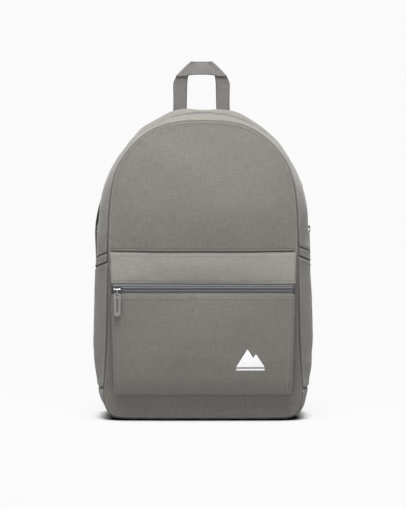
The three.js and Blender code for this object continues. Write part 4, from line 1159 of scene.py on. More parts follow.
FP = over_top(None, Z_F, 22, lambda y, s: band_top(y, s) + 0.3)
front_gusset, FG_O, FG_N = sheet_piece("front_gusset", FP, INSIDE, [CANVAS, LINING], "r0 r1 c0 c1", bump=soft_gusset(21, 0.5, 0.3), seed=2)
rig.replaces(front_gusset, "front_gusset_strip", "front_gusset_end_left", "front_gusset_end_right")
RP = over_top(Z_R, GX, 30, lambda y, s: band_top(y, s) + 0.3)
rear_gusset, RG_O, RG_N = sheet_piece("rear_gusset_panel", RP, INSIDE, [CANVAS, LINING], "r0 r1 c0 c1", bump=soft_gusset(31, 1.0, 0.5), seed=3)
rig.replaces(rear_gusset, "rear_gusset")
for o in (front_gusset, rear_gusset):
    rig.slot(o, "canvas")
PACK_PIECES = [rear_gusset]
SIDE_GRIDS = {}
for side, word in ((-1, "left"), (1, "right")):
    ys = cols(front_y(240) + 0.9, GX, 50)
    zt = lambda y, s=side: float(band_top(y, s)) - 0.2
    zb = lambda y, s=side: float(band_top(y, s)) - BAND_HEIGHT + 0.2
    P = side_rows(zt, zb, ys, 11, side)
    band, BO, BN = sheet_piece(f"zip_end_band_{word}_web", P, INSIDE, [CANVAS_SIDE, LINING], "r0 r1 c0 c1", seed=5 + side, roll_width=2.0, roll_depth=1.2)
    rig.replaces(band, f"zip_end_band_{word}")
    for row, nn in ((2, 2), (-3, -3)):
        pass
    ys2 = cols(front_y(150) + 0.9, GX, 46)
    zt2 = lambda y, s=side: float(band_top(y, s)) - BAND_HEIGHT - 0.2
    rows = []
    dz = [0, .5, 1.1, 1.8, 2.8, 4.2]
    for e in dz:
        rows.append([side_point(zt2(y) - e, y, side) for y in ys2])
    for t in np.linspace(0, 1, 44)[1:-1]:
        rows.append([side_point(zt2(y) - 5 + (BASE_TOP_Z + 5 - zt2(y) + 5) * t, y, side) for y in ys2])
    for e in dz[::-1]:
        rows.append([side_point(BASE_TOP_Z + 0.2 + e, y, side) for y in ys2])
    P = np.array(rows)

    def slump(lr, lc, P_, near, seed=41 + side):
        k = smooth(near / 16)
        z = P_[..., 2]
        low = np.exp(-((z - 92) / 30) ** 2)
        return k * (0.5 * field(lc, lr, 120.0, seed, 10) + 0.22 * field(lc * 0.45, lr, 34.0, seed + 3, 10) * (0.4 + low)
                    + 0.45 * low * np.sin((z - 60) / 9.5 + lc / 34) * np.exp(-((lc - 70) / 55) ** 2))
    sp, SO, SN = sheet_piece(f"side_fabric_{word}", P, INSIDE, [CANVAS_SIDE, LINING], "r0 r1 c0 c1", bump=slump, seed=8 + side)
    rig.replaces(sp, f"side_panel_{word}")
    for o in (band, sp):
        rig.slot(o, "canvas")
        PACK_PIECES.append(o)
    SIDE_GRIDS[word] = (ys, BO, BN, ys2, SO, SN)

# base
sts = [station("corner", a, 1) for a in np.linspace(0, math.pi / 2, 26)] + [station("base", x, 1) for x in np.linspace(95, 0.001, 18)]
lefts = [dict(s, side=-1) for s in sts[:-1]]
right_rows = [skin(s, cols(s["ky"][0] + 0.9, GX, 40)) for s in sts]
left_rows = [skin(s, cols(s["ky"][0] + 0.9, GX, 40)) for s in lefts]
P = np.array(right_rows + left_rows[::-1])
# the first rows near each side seam
base, BSO, BSN = sheet_piece("base_panel", P, np.array([0, 0, 80.0]), [CANVAS_SIDE, LINING], "r0 r1 c0 c1", seed=12,
                             bump=lambda lr, lc, P_, near: smooth(near / 12) * np.where(P_[..., 2] > 6, 0.8 * field(lr, lc, 60.0, 51, 10), 0.0))
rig.replaces(base, "bottom_panel")
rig.slot(base, "canvas")
PACK_PIECES.append(base)

# ------------------------------------------------------------------ topstitching on the shell
def offset_row(O, N, axis, index):
    return (O[index], N[index]) if axis == 0 else (O[:, index], N[:, index])


for O, N, key in ((FG_O, FG_N, "flapblend"), (RG_O, RG_N, "pack")):
    zip_col = -6 if key == "flapblend" else 5
    stitches(key, O[4:-4, zip_col], N[4:-4, zip_col])
stitches("flapblend", FG_O[3:-3, 4], FG_N[3:-3, 4], r=0.32)
_ring = outline_full(FRONT_SEAM, 3.0)
_dir = np.array([0.0, 212.0]) - _ring
_dir /= np.linalg.norm(_dir, axis=1, keepdims=True)
_ring = np.vstack([_ring + _dir * 2.9, (_ring + _dir * 2.9)[:1]])
stitches("flapblend", np.column_stack([_ring[:, 0], front_surf(_ring[:, 0], _ring[:, 1]) + 0.05, _ring[:, 1]]), np.array([0.0, -1.0, 0.0]), r=0.32)
stitches("pack", BSO[3:-3, 4], BSN[3:-3, 4], r=0.32)
for word, (ys, BO, BN, ys2, SO, SN) in SIDE_GRIDS.items():
    stitches("pack", BO[2, 2:-2], BN[2, 2:-2])
    stitches("pack", BO[-3, 2:-2], BN[-3, 2:-2])
    stitches("pack", SO[5, 2:-2], SN[5, 2:-2])
    stitches("pack", SO[-6, 2:-2], SN[-6, 2:-2])
    stitches("pack", SO[3:-3, 4], SN[3:-3, 4], r=0.32)
    stitches("pack", BO[2:-2, 4], BN[2:-2, 4], r=0.32)

# ------------------------------------------------------------------ main zip
RIB = 0.10


def zip_half_sweep(name, deg0, deg1, sign, mats):
    """One tape half with the coil's ridge beneath it, round the zip's circle."""
    n = int(abs(deg1 - deg0) / 360 * math.tau * ZIP_R / 0.62)
    f = np.radians(np.linspace(deg0, deg1, n))
    arc = f * ZIP_R
    ribs = RIB * np.sin(arc * math.tau / 1.35)
    prof0 = [(0.18, -0.75), (0.32, -0.12), (0.9, 0.12), (1.7, 0.16), (2.6, -0.05), (3.1, -0.42), (4.2, -0.34), (6.6, -0.36), (6.6, -1.0), (3.0, -1.1), (2.7, -2.2), (0.4, -2.2)]
    V = []
    for a, o in prof0:
        k = 1.0 if 0.3 < a < 2.65 and o > -0.5 else 0.0
        r = ZIP_R + o + ribs * k
        V.append(np.column_stack([r * np.sin(f), np.full(n, ZIP_Y + sign * a), ZIP_CENTRE_Z + r * np.cos(f)]))
    V = np.stack(V, axis=1)
    K = len(prof0)
    idx = np.arange(n * K).reshape(n, K)
    nx = np.roll(idx, -1, axis=1)
    faces = np.stack([idx[:-1], nx[:-1], nx[1:], idx[1:]], axis=2).reshape(-1, 4).tolist()
    faces += [idx[0][::-1].tolist(), idx[-1].tolist()]
    wv = np.stack([np.broadcast_to(np.array([p[0] * sign for p in prof0])[None], (n, K)), np.broadcast_to(arc[:, None], (n, K))], axis=2).reshape(-1, 2) / 1000
    o = mesh_object(name, V.reshape(-1, 3), faces, mats, wv=wv)
    fix_normals(o)
    return o


zr = zip_half_sweep("main_zip_rear_tape", -ZIP_END_DEG - 1.5, ZIP_END_DEG + 1.5, 1, [TAPE])
zf = zip_half_sweep("main_zip_front_tape", -ZIP_END_DEG - 1.5, ZIP_END_DEG + 1.5, -1, [TAPE])
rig.replaces(zr, "main_zip_rear_half")
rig.replaces(zf, "main_zip_front_half", "main_zip_end_left", "main_zip_end_right")
for o in (zr, zf):
    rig.slot(o, "zip_tape")
PACK_PIECES.append(zr)


# ------------------------------------------------------------------ front pocket
FACE_Z = np.array([39, 46, 60, 90, 120, 150, 180, 184.5, 197, 210, 225, 236, 242], float)
FACE_Y = np.array([-84.5, -89.5, -92.3, -93.6, -93.0, -91.3, -88.6, -88, -87.2, -85.2, -81, -76.6, -73.5])
FOLLOW_Z = np.array([39, 80, 120, 150, 170, 183, 199, 210, 225, 242], float)
FOLLOW_K = np.array([0.55, 0.55, 0.45, 0.3, 0.12, 0, 0, 0.35, 0.75, 1.0])


def base_y(x, z):
    u = np.minimum(np.abs(x) / np.maximum(half_at(z), 20.0), 1.0)
    v = np.minimum(np.abs(np.asarray(z, float) - 212) / 220, 1.0)
    return front_y(np.asarray(z, float)) - 8 * (1 - u ** 2.6) * (1 - v ** 4)


def face_profile(z):
    """Outer depth of the pocket's face, smoothed from its table."""
    zz = np.asarray(z, float)
    acc = sum(np.interp(zz + d, FACE_Z, FACE_Y) for d in (-6, -3, 0, 3, 6)) / 5
    keep = smooth((np.abs(zz - 191) - 6) / 10)          # exact beside the zip
    low = smooth((zz - 46) / 8)                          # exact at the bottom edge
    k = keep * low * smooth((236 - zz) / 6)
    return np.interp(zz, FACE_Z, FACE_Y) * (1 - k) + acc * k


def pocket_half(z):
    w = 127 + 6 * np.clip((z - 39) / 203, 0, 1)
    t = np.clip((47 - z) / 8.5, 0, 0.999)
    return w - 8 * (1 - np.sqrt(1 - t * t))


def pocket_face_y(x, z):
    m = np.interp(z, FOLLOW_Z, FOLLOW_K)
    y = face_profile(z) + m * (base_y(x, z) - base_y(0.0, z))
    w = pocket_half(z)
    soft = smooth((w - np.abs(x)) / 26) * smooth((z - 44) / 26) * smooth(np.abs(z - 191) / 18) * smooth((241 - z) / 16)
    y = y + soft * (0.28 * field(x, z, 120.0, 61, 10) + 0.1 * field(x, z, 46.0, 62, 10))
    # the open-mouthed middle of the zip stands a little proud
    return y - 0.9 * (1 - (x / 131.0) ** 2) * smooth((z - 40) / 20) * smooth((241 - z) / 20) * (1 - np.exp(-((z - 191) / 9.0) ** 2))


def pocket_row(z, corner):
    """One cross-section, from the left foot round the corner and over the face to the right foot."""
    w = pocket_half(z)
    foot = base_y(w, z) - 0.35
    xs = np.concatenate([w - corner - np.array([0, .7, 1.6, 2.8, 4.4, 6.6, 10]), np.linspace(w - corner - 15, 0, 30)])
    face = pocket_face_y(xs, np.full(len(xs), z))
    f0 = pocket_face_y(w - corner, z)
    wall = [(w, foot + (f0 + corner - foot) * t) for t in (0, 0.12, 0.3, 0.5, 0.7, 0.88)]
    arc = [(w - corner + corner * math.cos(a), f0 + corner - corner * math.sin(a)) for a in np.linspace(0, math.pi / 2, 9)[:-1]]
    half_pts = np.array(wall + arc + list(zip(xs, face)))
    left = half_pts[:-1].copy()
    left[:, 0] *= -1
    # the left face takes its own soft shape
    n = len(wall) + len(arc)
    left[n:, 1] = pocket_face_y(left[n:, 0], np.full(len(left) - n, z))
    pts = np.vstack([left, half_pts[::-1]])
    return np.column_stack([pts[:, 0], pts[:, 1], np.full(len(pts), z)])


def corner_at(z):
    depth = float(base_y(130.0, z) - 0.35 - pocket_face_y(124.0, z))
    return float(min(4.2, max(0.8, depth * 0.45)))


edge6 = [0, .5, 1.1, 1.8, 2.8, 4.2]
# painted shade where the pocket's walls meet the front panel, and along one row edge
def foot_seam_shade(rows_too):
    def f(lr, lc, P):
        d = np.minimum(lc, lc[:, -1:] - lc)
        if rows_too == "r1":
            d = np.minimum(d, lr[-1:, :] - lr)
        if rows_too == "r0":
            d = np.minimum(d, lr)
        return np.exp(-(d / 1.6) ** 2)
    return f


def lip_lift(x):
    """The upper lip opens wider towards the slider's end."""
    return 0.9 * np.clip((70 - np.asarray(x, float)) / 195, 0, 1)


low_z = [185.6 - e for e in edge6] + np.linspace(178, 50, 44).tolist() + [47, 45, 43.4, 42, 41, 40.3, 39.8, 39.5]
rows = [pocket_row(z, corner_at(z)) for z in low_z]
# the bottom edge rounds under and runs back to the front panel
last = rows[-1]
for t in (0.06, 0.2, 0.4, 0.65, 0.88, 1.0):
    r = last.copy()
    sink = 1.6 * (1 - math.sqrt(1 - min(1, t * 1.4) ** 2)) if t * 1.4 < 1 else 1.6
    tgt = base_y(np.clip(np.abs(r[:, 0]), 0, 128), 38.0) - 0.35
    r[:, 1] = np.minimum(tgt, last[:, 1] + (tgt - last[:, 1]) * t)
    r[:, 2] = 39.5 - 0.5 * t + 0.35 * math.sin(t * 9) * 0
    rows.append(r)
POCK_LOW = np.array(rows)
pocket_low, PLO, PLN = sheet_piece("pocket_lower", POCK_LOW, np.array([0, -40.0, 120.0]), [CANVAS_POCKET_SHADED, LINING], "r0", seed=21, roll_depth=1.5, thick=1.4, pucker=0.2, seam_shade_scale=0.25, seam_shade_extra=foot_seam_shade("r1"))
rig.replaces(pocket_low, "pocket_lower_panel")
up_z = [242.6, 242.4, 242.0, 241.4, 240.6, 239.4, 237.6] + np.linspace(235, 203.5, 13).tolist() + [197.1 + e for e in edge6[::-1]]
rows = [pocket_row(z, corner_at(z)) for z in up_z]
for r, z in zip(rows, up_z):
    # the top edge turns down onto the front panel
    t = np.clip((z - 237.6) / 5.0, 0, 1)
    flat = base_y(r[:, 0], z) - 0.5
    r[:, 1] = r[:, 1] + (flat - r[:, 1]) * (1 - math.sqrt(max(0.0, 1 - t ** 2.2)))
    r[:, 2] += lip_lift(r[:, 0]) * smooth((226 - z) / 24)
POCK_UP = np.array(rows)
pocket_up, PUO, PUN = sheet_piece("pocket_upper", POCK_UP, np.array([0, -40.0, 220.0]), [CANVAS, LINING], "r1", seed=22, roll_depth=1.5, thick=1.4, pucker=0.2, seam_shade_scale=0.25, seam_shade_extra=foot_seam_shade("r0"))
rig.replaces(pocket_up, "pocket_upper_panel")
for o in (pocket_low, pocket_up):
    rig.slot(o, "canvas")
    PACK_PIECES.append(o)
# narrow folded strip that covers the pocket's top seam
px = np.linspace(-129.6, 129.6, 140)
pipe_path = np.column_stack([px, front_surf(px, np.full(len(px), 245.2)) - 0.55, np.full(len(px), 245.2)])
pipe = sweep("pocket_top_strip", pipe_path, [(-1.0, -0.7), (-1.05, 0.2), (-0.75, 0.62), (0.0, 0.8), (0.75, 0.62), (1.05, 0.2), (1.0, -0.7)], np.tile([0, -1.0, 0.0], (len(px), 1)), [CANVAS])
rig.slot(pipe, "canvas")
PACK_PIECES.append(pipe)
# two thin strips of dark cloth above and below the top strip: painted shadow lines in the seam grooves
for dz_, nm_ in ((1.55, "upper"), (-1.55, "lower")):
    painted_shadow_strip = sweep(f"pocket_top_crease_{nm_}", pipe_path + np.array([0, 0.05, dz_]), [(-0.55, -0.5), (-0.55, 0.12), (0.55, 0.12), (0.55, -0.5)], np.tile([0, -1.0, 0.0], (len(px), 1)), [DARK_CLOTH_AND_SHADOW])
    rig.slot(painted_shadow_strip, "canvas")
    PACK_PIECES.append(painted_shadow_strip)
nf = slice(12, -12)
stitches("pack", PLO[6, nf], PLN[6, nf])
stitches("pack", PUO[-7, nf], PUN[-7, nf])
stitches("pack", PUO[6, 14:-14], PUN[6, 14:-14])
# side walls: a row just inside each corner
for j in (17, -18):
    stitches("pack", PLO[7:-8, j], PLN[7:-8, j])


def prism(name, poly, lo, hi, plane, mats, fr=None, bevel_mm=0.0, segs=2):
    """A polygon pushed from lo to hi. plane names where the polygon's two axes and the push go, such as xzy."""
    ax = ["xyz".index(c) for c in plane]
    n = len(poly)
    V = np.zeros((2 * n, 3))
    for k, h in enumerate((lo, hi)):
        V[k * n:(k + 1) * n, ax[0]] = [p[0] for p in poly]
        V[k * n:(k + 1) * n, ax[1]] = [p[1] for p in poly]
        V[k * n:(k + 1) * n, ax[2]] = h
    faces = [list(range(n)), list(range(2 * n - 1, n - 1, -1))] + [[i, n + i, n + (i + 1) % n, (i + 1) % n] for i in range(n)]
    return solid_part(name, V, faces, mats, fr, bevel_mm, segs)


def solid_part(name, V, faces, mats, fr=None, bevel_mm=0.0, segs=2):
    o = mesh_object(name, V, faces, mats, shift=False, wv=np.asarray(V, float) / 1000)
    fix_normals(o)
    if bevel_mm:
        bevel(o, bevel_mm, segs, 25)
    o["local"] = 1
    if fr is not None:
        place(o, fr)
    return o


class Fr:
    def __init__(self, o, x, y, z):
        self.o, self.x, self.y, self.z = [np.array(v, float) for v in (o, x, y, z)]

    def at(self, p):
        p = np.atleast_2d(np.asarray(p, float))
        return self.o + p[:, :1] * self.x + p[:, 1:2] * self.y + p[:, 2:3] * self.z

    def lean(self, a):
        """Turned about its own x by a, as a child frame."""
        y = self.y * math.cos(a) + self.z * math.sin(a)
        z = -self.y * math.sin(a) + self.z * math.cos(a)
        return Fr(self.o, self.x, y, z)


def place(o, fr):
    co = co_of(o) * 1000
    p = fr.at(co)
    p[:, 1] += SY
    set_co(o, p / 1000)
    return o


def cut(o, cutter):
    m = o.modifiers.new("cut", "BOOLEAN")
    m.operation = "DIFFERENCE"
    m.solver = "EXACT"
    m.object = cutter
    apply_modifiers(o)
    bpy.data.objects.remove(cutter, do_unlink=True)
    return o


def wire(name, pts, r, mats, closed=True, sides=12):
    """A round wire along a path in local mm."""
    P = np.array(pts, float)
    n = len(P)
    if closed:
        t = np.roll(P, -1, axis=0) - np.roll(P, 1, axis=0)
    else:
        t = np.gradient(P, axis=0)
    t /= np.linalg.norm(t, axis=1, keepdims=True)
    a = np.array([1.0, 0, 0]) if abs(t[0][0]) < 0.9 else np.array([0, 1.0, 0])
    N = []
    for i in range(n):
        a = a - t[i] * a.dot(t[i])
        a /= np.linalg.norm(a)
        N.append(a.copy())
    N = np.array(N)
    B = np.cross(t, N)
    ang = np.arange(sides) / sides * math.tau
    rr = np.broadcast_to(np.asarray(r, float), (n,))
    V = P[:, None] + rr[:, None, None] * (np.cos(ang)[None, :, None] * N[:, None] + np.sin(ang)[None, :, None] * B[:, None])
    idx = np.arange(n * sides).reshape(n, sides)
    nx = np.roll(idx, -1, axis=1)
    m = n if closed else n - 1
    faces = []
    for i in range(m):
        k = (i + 1) % n
        for j in range(sides):
            faces.append([idx[i, j], nx[i, j], nx[k, j], idx[k, j]])
    if not closed:
        faces += [idx[0][::-1].tolist(), idx[-1].tolist()]
    o = mesh_object(name, V.reshape(-1, 3), faces, mats, shift=False, wv=np.zeros((n * sides, 3)))
    fix_normals(o)
    return o


def rounded(points, r, n=5):
    """A polygon with its corners rounded by radius r."""
    P = [np.array(p, float) for p in points]
    out = []
    for i, p in enumerate(P):
        a, b = P[i - 1], P[(i + 1) % len(P)]
        d1, d2 = a - p, b - p
        l1, l2 = np.linalg.norm(d1), np.linalg.norm(d2)
        k = min(r, l1 * 0.45, l2 * 0.45)
        s, e = p + d1 / l1 * k, p + d2 / l2 * k
        for t in np.linspace(0, 1, n):
            out.append((1 - t) ** 2 * s + 2 * t * (1 - t) * p + t ** 2 * e)
    return [tuple(v) for v in out]


def make_slider(name, fr, bar_along):
    METAL = METAL_BRIGHT if bar_along else METAL_SIDE
    wing = rounded([(-4.7, -6.4), (4.7, -6.4), (4.7, 1.5), (3.2, 6.6), (-3.2, 6.6), (-4.7, 1.5)], 1.3, 4)
    # the top plate and flanges take a near-black metal: painted shade for the slider's gaps and recesses
    top = prism(name + "_t", wing, 0.45, 1.35, "xzy", [METAL_PAINTED_SHADE], None, 0.28, 3)
    # crowned top face
    co = co_of(top) * 1000
    up = co[:, 1] > 1.0
    co[up, 1] += 0.35 * (1 - (co[up, 0] / 4.9) ** 2) * (1 - ((co[up, 2]) / 7.5) ** 2)
    set_co(top, co / 1000)
    parts = [top]
    flange = 0.55
    for k in (-1, 1):
        parts.append(prism(f"{name}_f{k}", rounded([(k * 4.0, -6.2), (k * 4.75, -6.2), (k * 4.75, 1.3), (k * 4.0, 3.0)], 0.3, 3), 0.25, 1.1, "xzy", [METAL_PAINTED_SHADE], None, 0.12, 2))
    w = 4.2 if bar_along else 3.4
    ear = rounded([(-1.6, 1.1), (1.6, 1.1), (1.25, BAR_OUT + 0.3), (0.7, BAR_OUT + 1.0), (-0.7, BAR_OUT + 1.0), (-1.25, BAR_OUT + 0.3)], 0.4, 4)
    for k in (-1, 1):
        if bar_along:
            parts.append(prism(f"{name}_e{k}", ear, k * w - 0.6, k * w + 0.6, "xyz", [METAL], None, 0.2, 3))
        else:
            parts.append(prism(f"{name}_e{k}", [(b, a) for a, b in ear], k * w - 0.6, k * w + 0.6, "yzx", [METAL], None, 0.2, 3))
    # bowed bar between the ears
    t = np.linspace(-1, 1, 13)
    bow = 0.25 * (1 - t ** 2)
    pts = [(0, BAR_OUT + b, q * w) for q, b in zip(t, bow)] if bar_along else [(q * w, BAR_OUT + b, 0) for q, b in zip(t, bow)]
    parts.append(wire(name + "_bar", pts, 0.68, [METAL], closed=False))
    o = join(parts, name)
    return place(o, fr)


def make_link(name, fr):
    METAL = METAL_BRIGHT if name.startswith("pocket") else METAL_SIDE
    R = BAR_R + 0.35 + LINK_R
    pts = []
    for a in np.linspace(0, math.pi, 13):
        pts.append((0, R * math.cos(a), R * math.sin(a)))
    for a in np.linspace(math.pi, math.tau, 13):
        pts.append((0, R * math.cos(a), -LINK_LENGTH + R * math.sin(a)))
    return place(wire(name, pts, LINK_R * 0.97, [METAL]), fr)


TAB_TOP = -LINK_LENGTH + 1.0


def make_tab(name, fr):
    """Moulded pull: tapered, slotted for its link, with a long finger groove on both faces."""
    t, b = TAB_TOP, TAB_TOP - 33
    out = rounded([(-3.8, t), (3.8, t), (5.6, t - 2.6), (5.55, t - 5), (4.45, b + 2.0), (3.0, b), (-3.0, b), (-4.45, b + 2.0), (-5.55, t - 5), (-5.6, t - 2.6)], 1.3, 5)
    o = prism(name, out, -1.0, 1.0, "xzy", [RUBBER])
    slot = rounded([(-1.2, t - 4.6), (1.2, t - 4.6), (1.2, t - 1.2), (-1.2, t - 1.2)], 1.1, 5)
    cut(o, prism("cutter", slot, -3, 3, "xzy", [RUBBER]))
    for k in (-1, 1):
        g = rounded([(-1.35, t - 8.4), (1.35, t - 8.4), (1.0, b + 5.2), (-1.0, b + 5.2)], 0.9, 5)
        cut(o, prism("cutter", g, k * 0.62, k * 3.0, "xzy", [RUBBER]))
    bevel(o, 0.24, 3, 30)
    # the floor of each finger groove takes a darker rubber: painted shade in the groove
    o.data.materials.append(RUBBER_GROOVE_SHADE)
    for f in o.data.polygons:
        c = f.center * 1000
        if abs(c[1]) < 0.8 and abs(f.normal[1]) > 0.9 and t - 9 > c[2] > b + 4.5 and abs(c[0]) < 1.4:
            f.material_index = 1
    return place(o, fr)


def weighted(o):
    m = o.modifiers.new("wn", "WEIGHTED_NORMAL")
    m.keep_sharp = False
    apply_modifiers(o)


HW = {}
fr = Fr((SLIDER_X, POCKET_ZIP_Y, POCKET_ZIP_Z), (0, 0, 1), (0, -1, 0), (1, 0, 0))
HW["pocket_slider_body"] = (make_slider("pocket_slider_body", fr, True), "pocket_slider", "pocket_slider", "zip_metal")
fp = Fr((SLIDER_X, POCKET_ZIP_Y - BAR_OUT, POCKET_ZIP_Z), (-1, 0, 0), (0, -1, 0), (0, 0, 1)).lean(POCKET_PULL_LEAN)
HW["pocket_pull_wire"] = (make_link("pocket_pull_wire", fp), "pocket_pull_link", "pocket_pull", "zip_metal")
HW["pocket_pull_finger_tab"] = (make_tab("pocket_pull_finger_tab", fp), "pocket_pull_tab", "pocket_pull", "puller_rubber")
for side, word in ((-1, "left"), (1, "right")):
    f = math.radians(PARK_DEG) * side
    out = np.array([math.sin(f), 0, math.cos(f)])
    travel = np.array([-side * math.cos(f), 0, side * math.sin(f)])
    across = np.cross(out, travel)
    org = np.array([ZIP_R * math.sin(f), ZIP_Y, ZIP_CENTRE_Z + ZIP_R * math.cos(f)])
    fs = Fr(org, across, out, travel)
    HW[f"main_slider_body_{word}"] = (make_slider(f"main_slider_body_{word}", fs, False), f"main_slider_{word}", f"main_slider_{word}", "zip_metal")
    fl = Fr(org + out * BAR_OUT, across, out, travel).lean(MAIN_PULL_LEAN)
    HW[f"main_pull_wire_{word}"] = (make_link(f"main_pull_wire_{word}", fl), f"main_pull_link_{word}", f"main_pull_{word}", "zip_metal")
    HW[f"main_pull_finger_tab_{word}"] = (make_tab(f"main_pull_finger_tab_{word}", fl), f"main_pull_tab_{word}", f"main_pull_{word}", "puller_rubber")
for name, (o, node, body, slot) in HW.items():
    weighted(o)
    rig.replaces(o, node)
    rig.slot(o, slot)
    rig.ride(o, body)

# ------------------------------------------------------------------ pocket zip
def straight_zip(name, k):
    n = int(2 * POCKET_ZIP_HALF / 0.5)
    x = np.linspace(-POCKET_ZIP_HALF, POCKET_ZIP_HALF, n)
    ribs = 0.12 * np.sin(x * math.tau / 1.35)
    prof = [(0.3, -0.7), (0.45, 0.0), (1.1, 0.34), (2.2, 0.38), (3.2, 0.1), (3.7, -0.45), (4.4, -0.2), (5.9, -0.14), (5.9, -0.9), (3.6, -1.1), (2.8, -2.2), (0.5, -2.2)]
    V = []
    for a, o_ in prof:
        kk = 1.0 if 0.4 < a < 3.4 and o_ > -0.4 else 0.0
        up = (lip_lift(x) * 1.0 if a > 4.5 else 0.0) if k > 0 else 0.0
        V.append(np.column_stack([x, POCKET_ZIP_Y - o_ - 0.3 - ribs * kk, POCKET_ZIP_Z + k * a + up + np.zeros(n)]))
    V = np.stack(V, axis=1)
    K = len(prof)
    idx = np.arange(n * K).reshape(n, K)
    nx = np.roll(idx, -1, axis=1)
    faces = np.stack([idx[:-1], nx[:-1], nx[1:], idx[1:]], axis=2).reshape(-1, 4).tolist() + [idx[0][::-1].tolist(), idx[-1].tolist()]
    wv = np.stack([np.broadcast_to(np.array([p[0] * k for p in prof])[None], (n, K)), np.broadcast_to(x[:, None], (n, K))], axis=2).reshape(-1, 2) / 1000
    o = mesh_object(name, V.reshape(-1, 3), faces, [POCKET_TAPE], wv=wv)
    fix_normals(o)
    return o


for k, word in ((1, "upper"), (-1, "lower")):
    o = straight_zip(f"pocket_zip_tape_{word}", k)
    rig.replaces(o, f"pocket_zip_{word}_half")
    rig.slot(o, "zip_tape")
    PACK_PIECES.append(o)

for side, word in ((-1, "left"), (1, "right")):
    # folded end tab that closes the wall beside the zip
    w = float(pocket_half(191.0))
    tabe = rounded([(w - 4.6, -87.5), (w - 0.3, -87.2), (w - 0.1, float(base_y(w, 191.0)) - 0.6), (w - 2.6, float(base_y(w, 191.0)) - 0.6), (w - 4.6, -85.4)], 0.6, 4)
    zt_ = prism(f"pocket_zip_end_tab_{word}", [(side * a, b) for a, b in tabe], 184.2, 197.6 + (0.8 if side < 0 else 0.0), "xyz", [DARK_CLOTH_AND_SHADOW])
    bevel(zt_, 0.35, 2, 30)
    co = zt_.data.vertices
    for v_ in co:
        v_.co[1] += SY / 1000
    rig.replaces(zt_, f"pocket_zip_end_{word}")
    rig.slot(zt_, "canvas")
    PACK_PIECES.append(zt_)

# ------------------------------------------------------------------ printed transfer
def transfer():
    poly = [(-15, -9), (-15, -12), (15, -12), (15, -9), (17, -9), (6.5, 7), (3.4, 2.4), (-3.5, 13), (-17, -9)]
    poly = [(-17, -8.4), (17, -8.4), (6.6, 7.4), (3.3, 2.6), (-3.5, 13.2)]
    bm = bmesh.new()
    for shape in (rounded(poly, 0.7, 4), rounded([(-17, -12.2), (17, -12.2), (17, -9.9), (-17, -9.9)], 0.8, 4)):
        bm.faces.new([bm.verts.new((67.5 + x * 1.2, 0, 89.5 + z * 1.2)) for x, z in shape])
    for axis, lo, hi in ((0, 45, 90), (2, 70, 108)):
        for c in np.arange(lo, hi, 1.5):
            co = [0, 0, 0]; co[axis] = c
            no = [0, 0, 0]; no[axis] = 1
            bmesh.ops.bisect_plane(bm, geom=bm.verts[:] + bm.edges[:] + bm.faces[:], plane_co=co, plane_no=no)
    bmesh.ops.triangulate(bm, faces=bm.faces[:])
    V = np.array([v.co[:] for v in bm.verts])
    F = [[v.index for v in f.verts] for f in bm.faces]
    for i, v in enumerate(bm.verts):
        v.index = i
    F = [[v.index for v in f.verts] for f in bm.faces]
    bm.free()
    y = pocket_face_y(V[:, 0], V[:, 2]) - 0.16
    n = len(V)
    V1 = V.copy(); V1[:, 1] = y
    V2 = V.copy(); V2[:, 1] = y + 0.22
    edges = {}
    for f in F:
        for a, b in zip(f, f[1:] + f[:1]):
            edges[(a, b)] = 1
    rim = [[b, a, a + n, b + n] for (a, b) in edges if (b, a) not in edges]
    faces = F + [[v + n for v in f[::-1]] for f in F] + rim
    W = np.vstack([V[:, [0, 2]]] * 2) / 1000
    o = mesh_object("pocket_print", np.vstack([V1, V2]), faces, [PRINT], wv=W)
    fix_normals(o)
    return o


print_piece = transfer()
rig.replaces(print_piece, "pocket_transfer")
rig.slot(print_piece, "transfer_print")
PACK_PIECES.append(print_piece)


# ------------------------------------------------------------------ back panel
def back_outline(inset, y=BACK_Y):
    pts = []
    sts = [station("arch", a, 1) for a in np.linspace(0, math.pi / 2, 90)] + [station("side", z, 1) for z in np.linspace(ZIP_CENTRE_Z, BASE_TOP_Z, 80)[1:]] \
        + [station("corner", a, 1) for a in np.linspace(0, math.pi / 2, 30)[1:]] + [station("base", x, 1) for x in np.linspace(95, 0, 14)[:-1]]
    for st in sts:
        r = st["kr"][4] - inset
        pts.append((st["ox"] + st["dx"] * r, st["oz"] + st["dz"] * r))
    pts = np.array(pts)
    pts = np.vstack([pts, [[0.0, pts[-1][1]]]])
    pts = pts[::-1]                       # from the bottom centre up the right side
    left = pts[1:-1][::-1].copy()
    left[:, 0] *= -1
    full = np.vstack([pts, left])
    s = np.concatenate([[0], np.cumsum(np.linalg.norm(np.diff(np.vstack([full, full[:1]]), axis=0), axis=1))])
    n = int(s[-1] / 3.0)
    t = np.arange(n) / n * s[-1]
    closed = np.vstack([full, full[:1]])
    return np.column_stack([np.interp(t, s, closed[:, k]) for k in (0, 1)])


BACK = back_outline(0.3)


def channel(d, w=2.6):
    return np.exp(-(d / w) ** 2)


def back_surf(x, z):
    x, z = np.asarray(x, float), np.asarray(z, float)
    y = np.full(np.broadcast(x, z).shape, REAR_Y - 1.2)
    # sewn channels: one down the middle, one round each pad, and one level under the yoke
    pad = np.abs(np.hypot(np.maximum(np.abs(np.abs(x) - 58) - 26, 0), np.maximum(np.abs(z - 205) - 130, 0)) - 27)
    y = y - 2.6 * channel(pad)
    y = y - 2.2 * channel(x) * smooth((362 - z) / 14) * smooth((z - 26) / 14)
    y = y - 2.2 * channel(z - 366) * smooth((118 - np.abs(x)) / 14)
    y = y + 0.5 * field(x, z, 80.0, 71, 10)
    return y


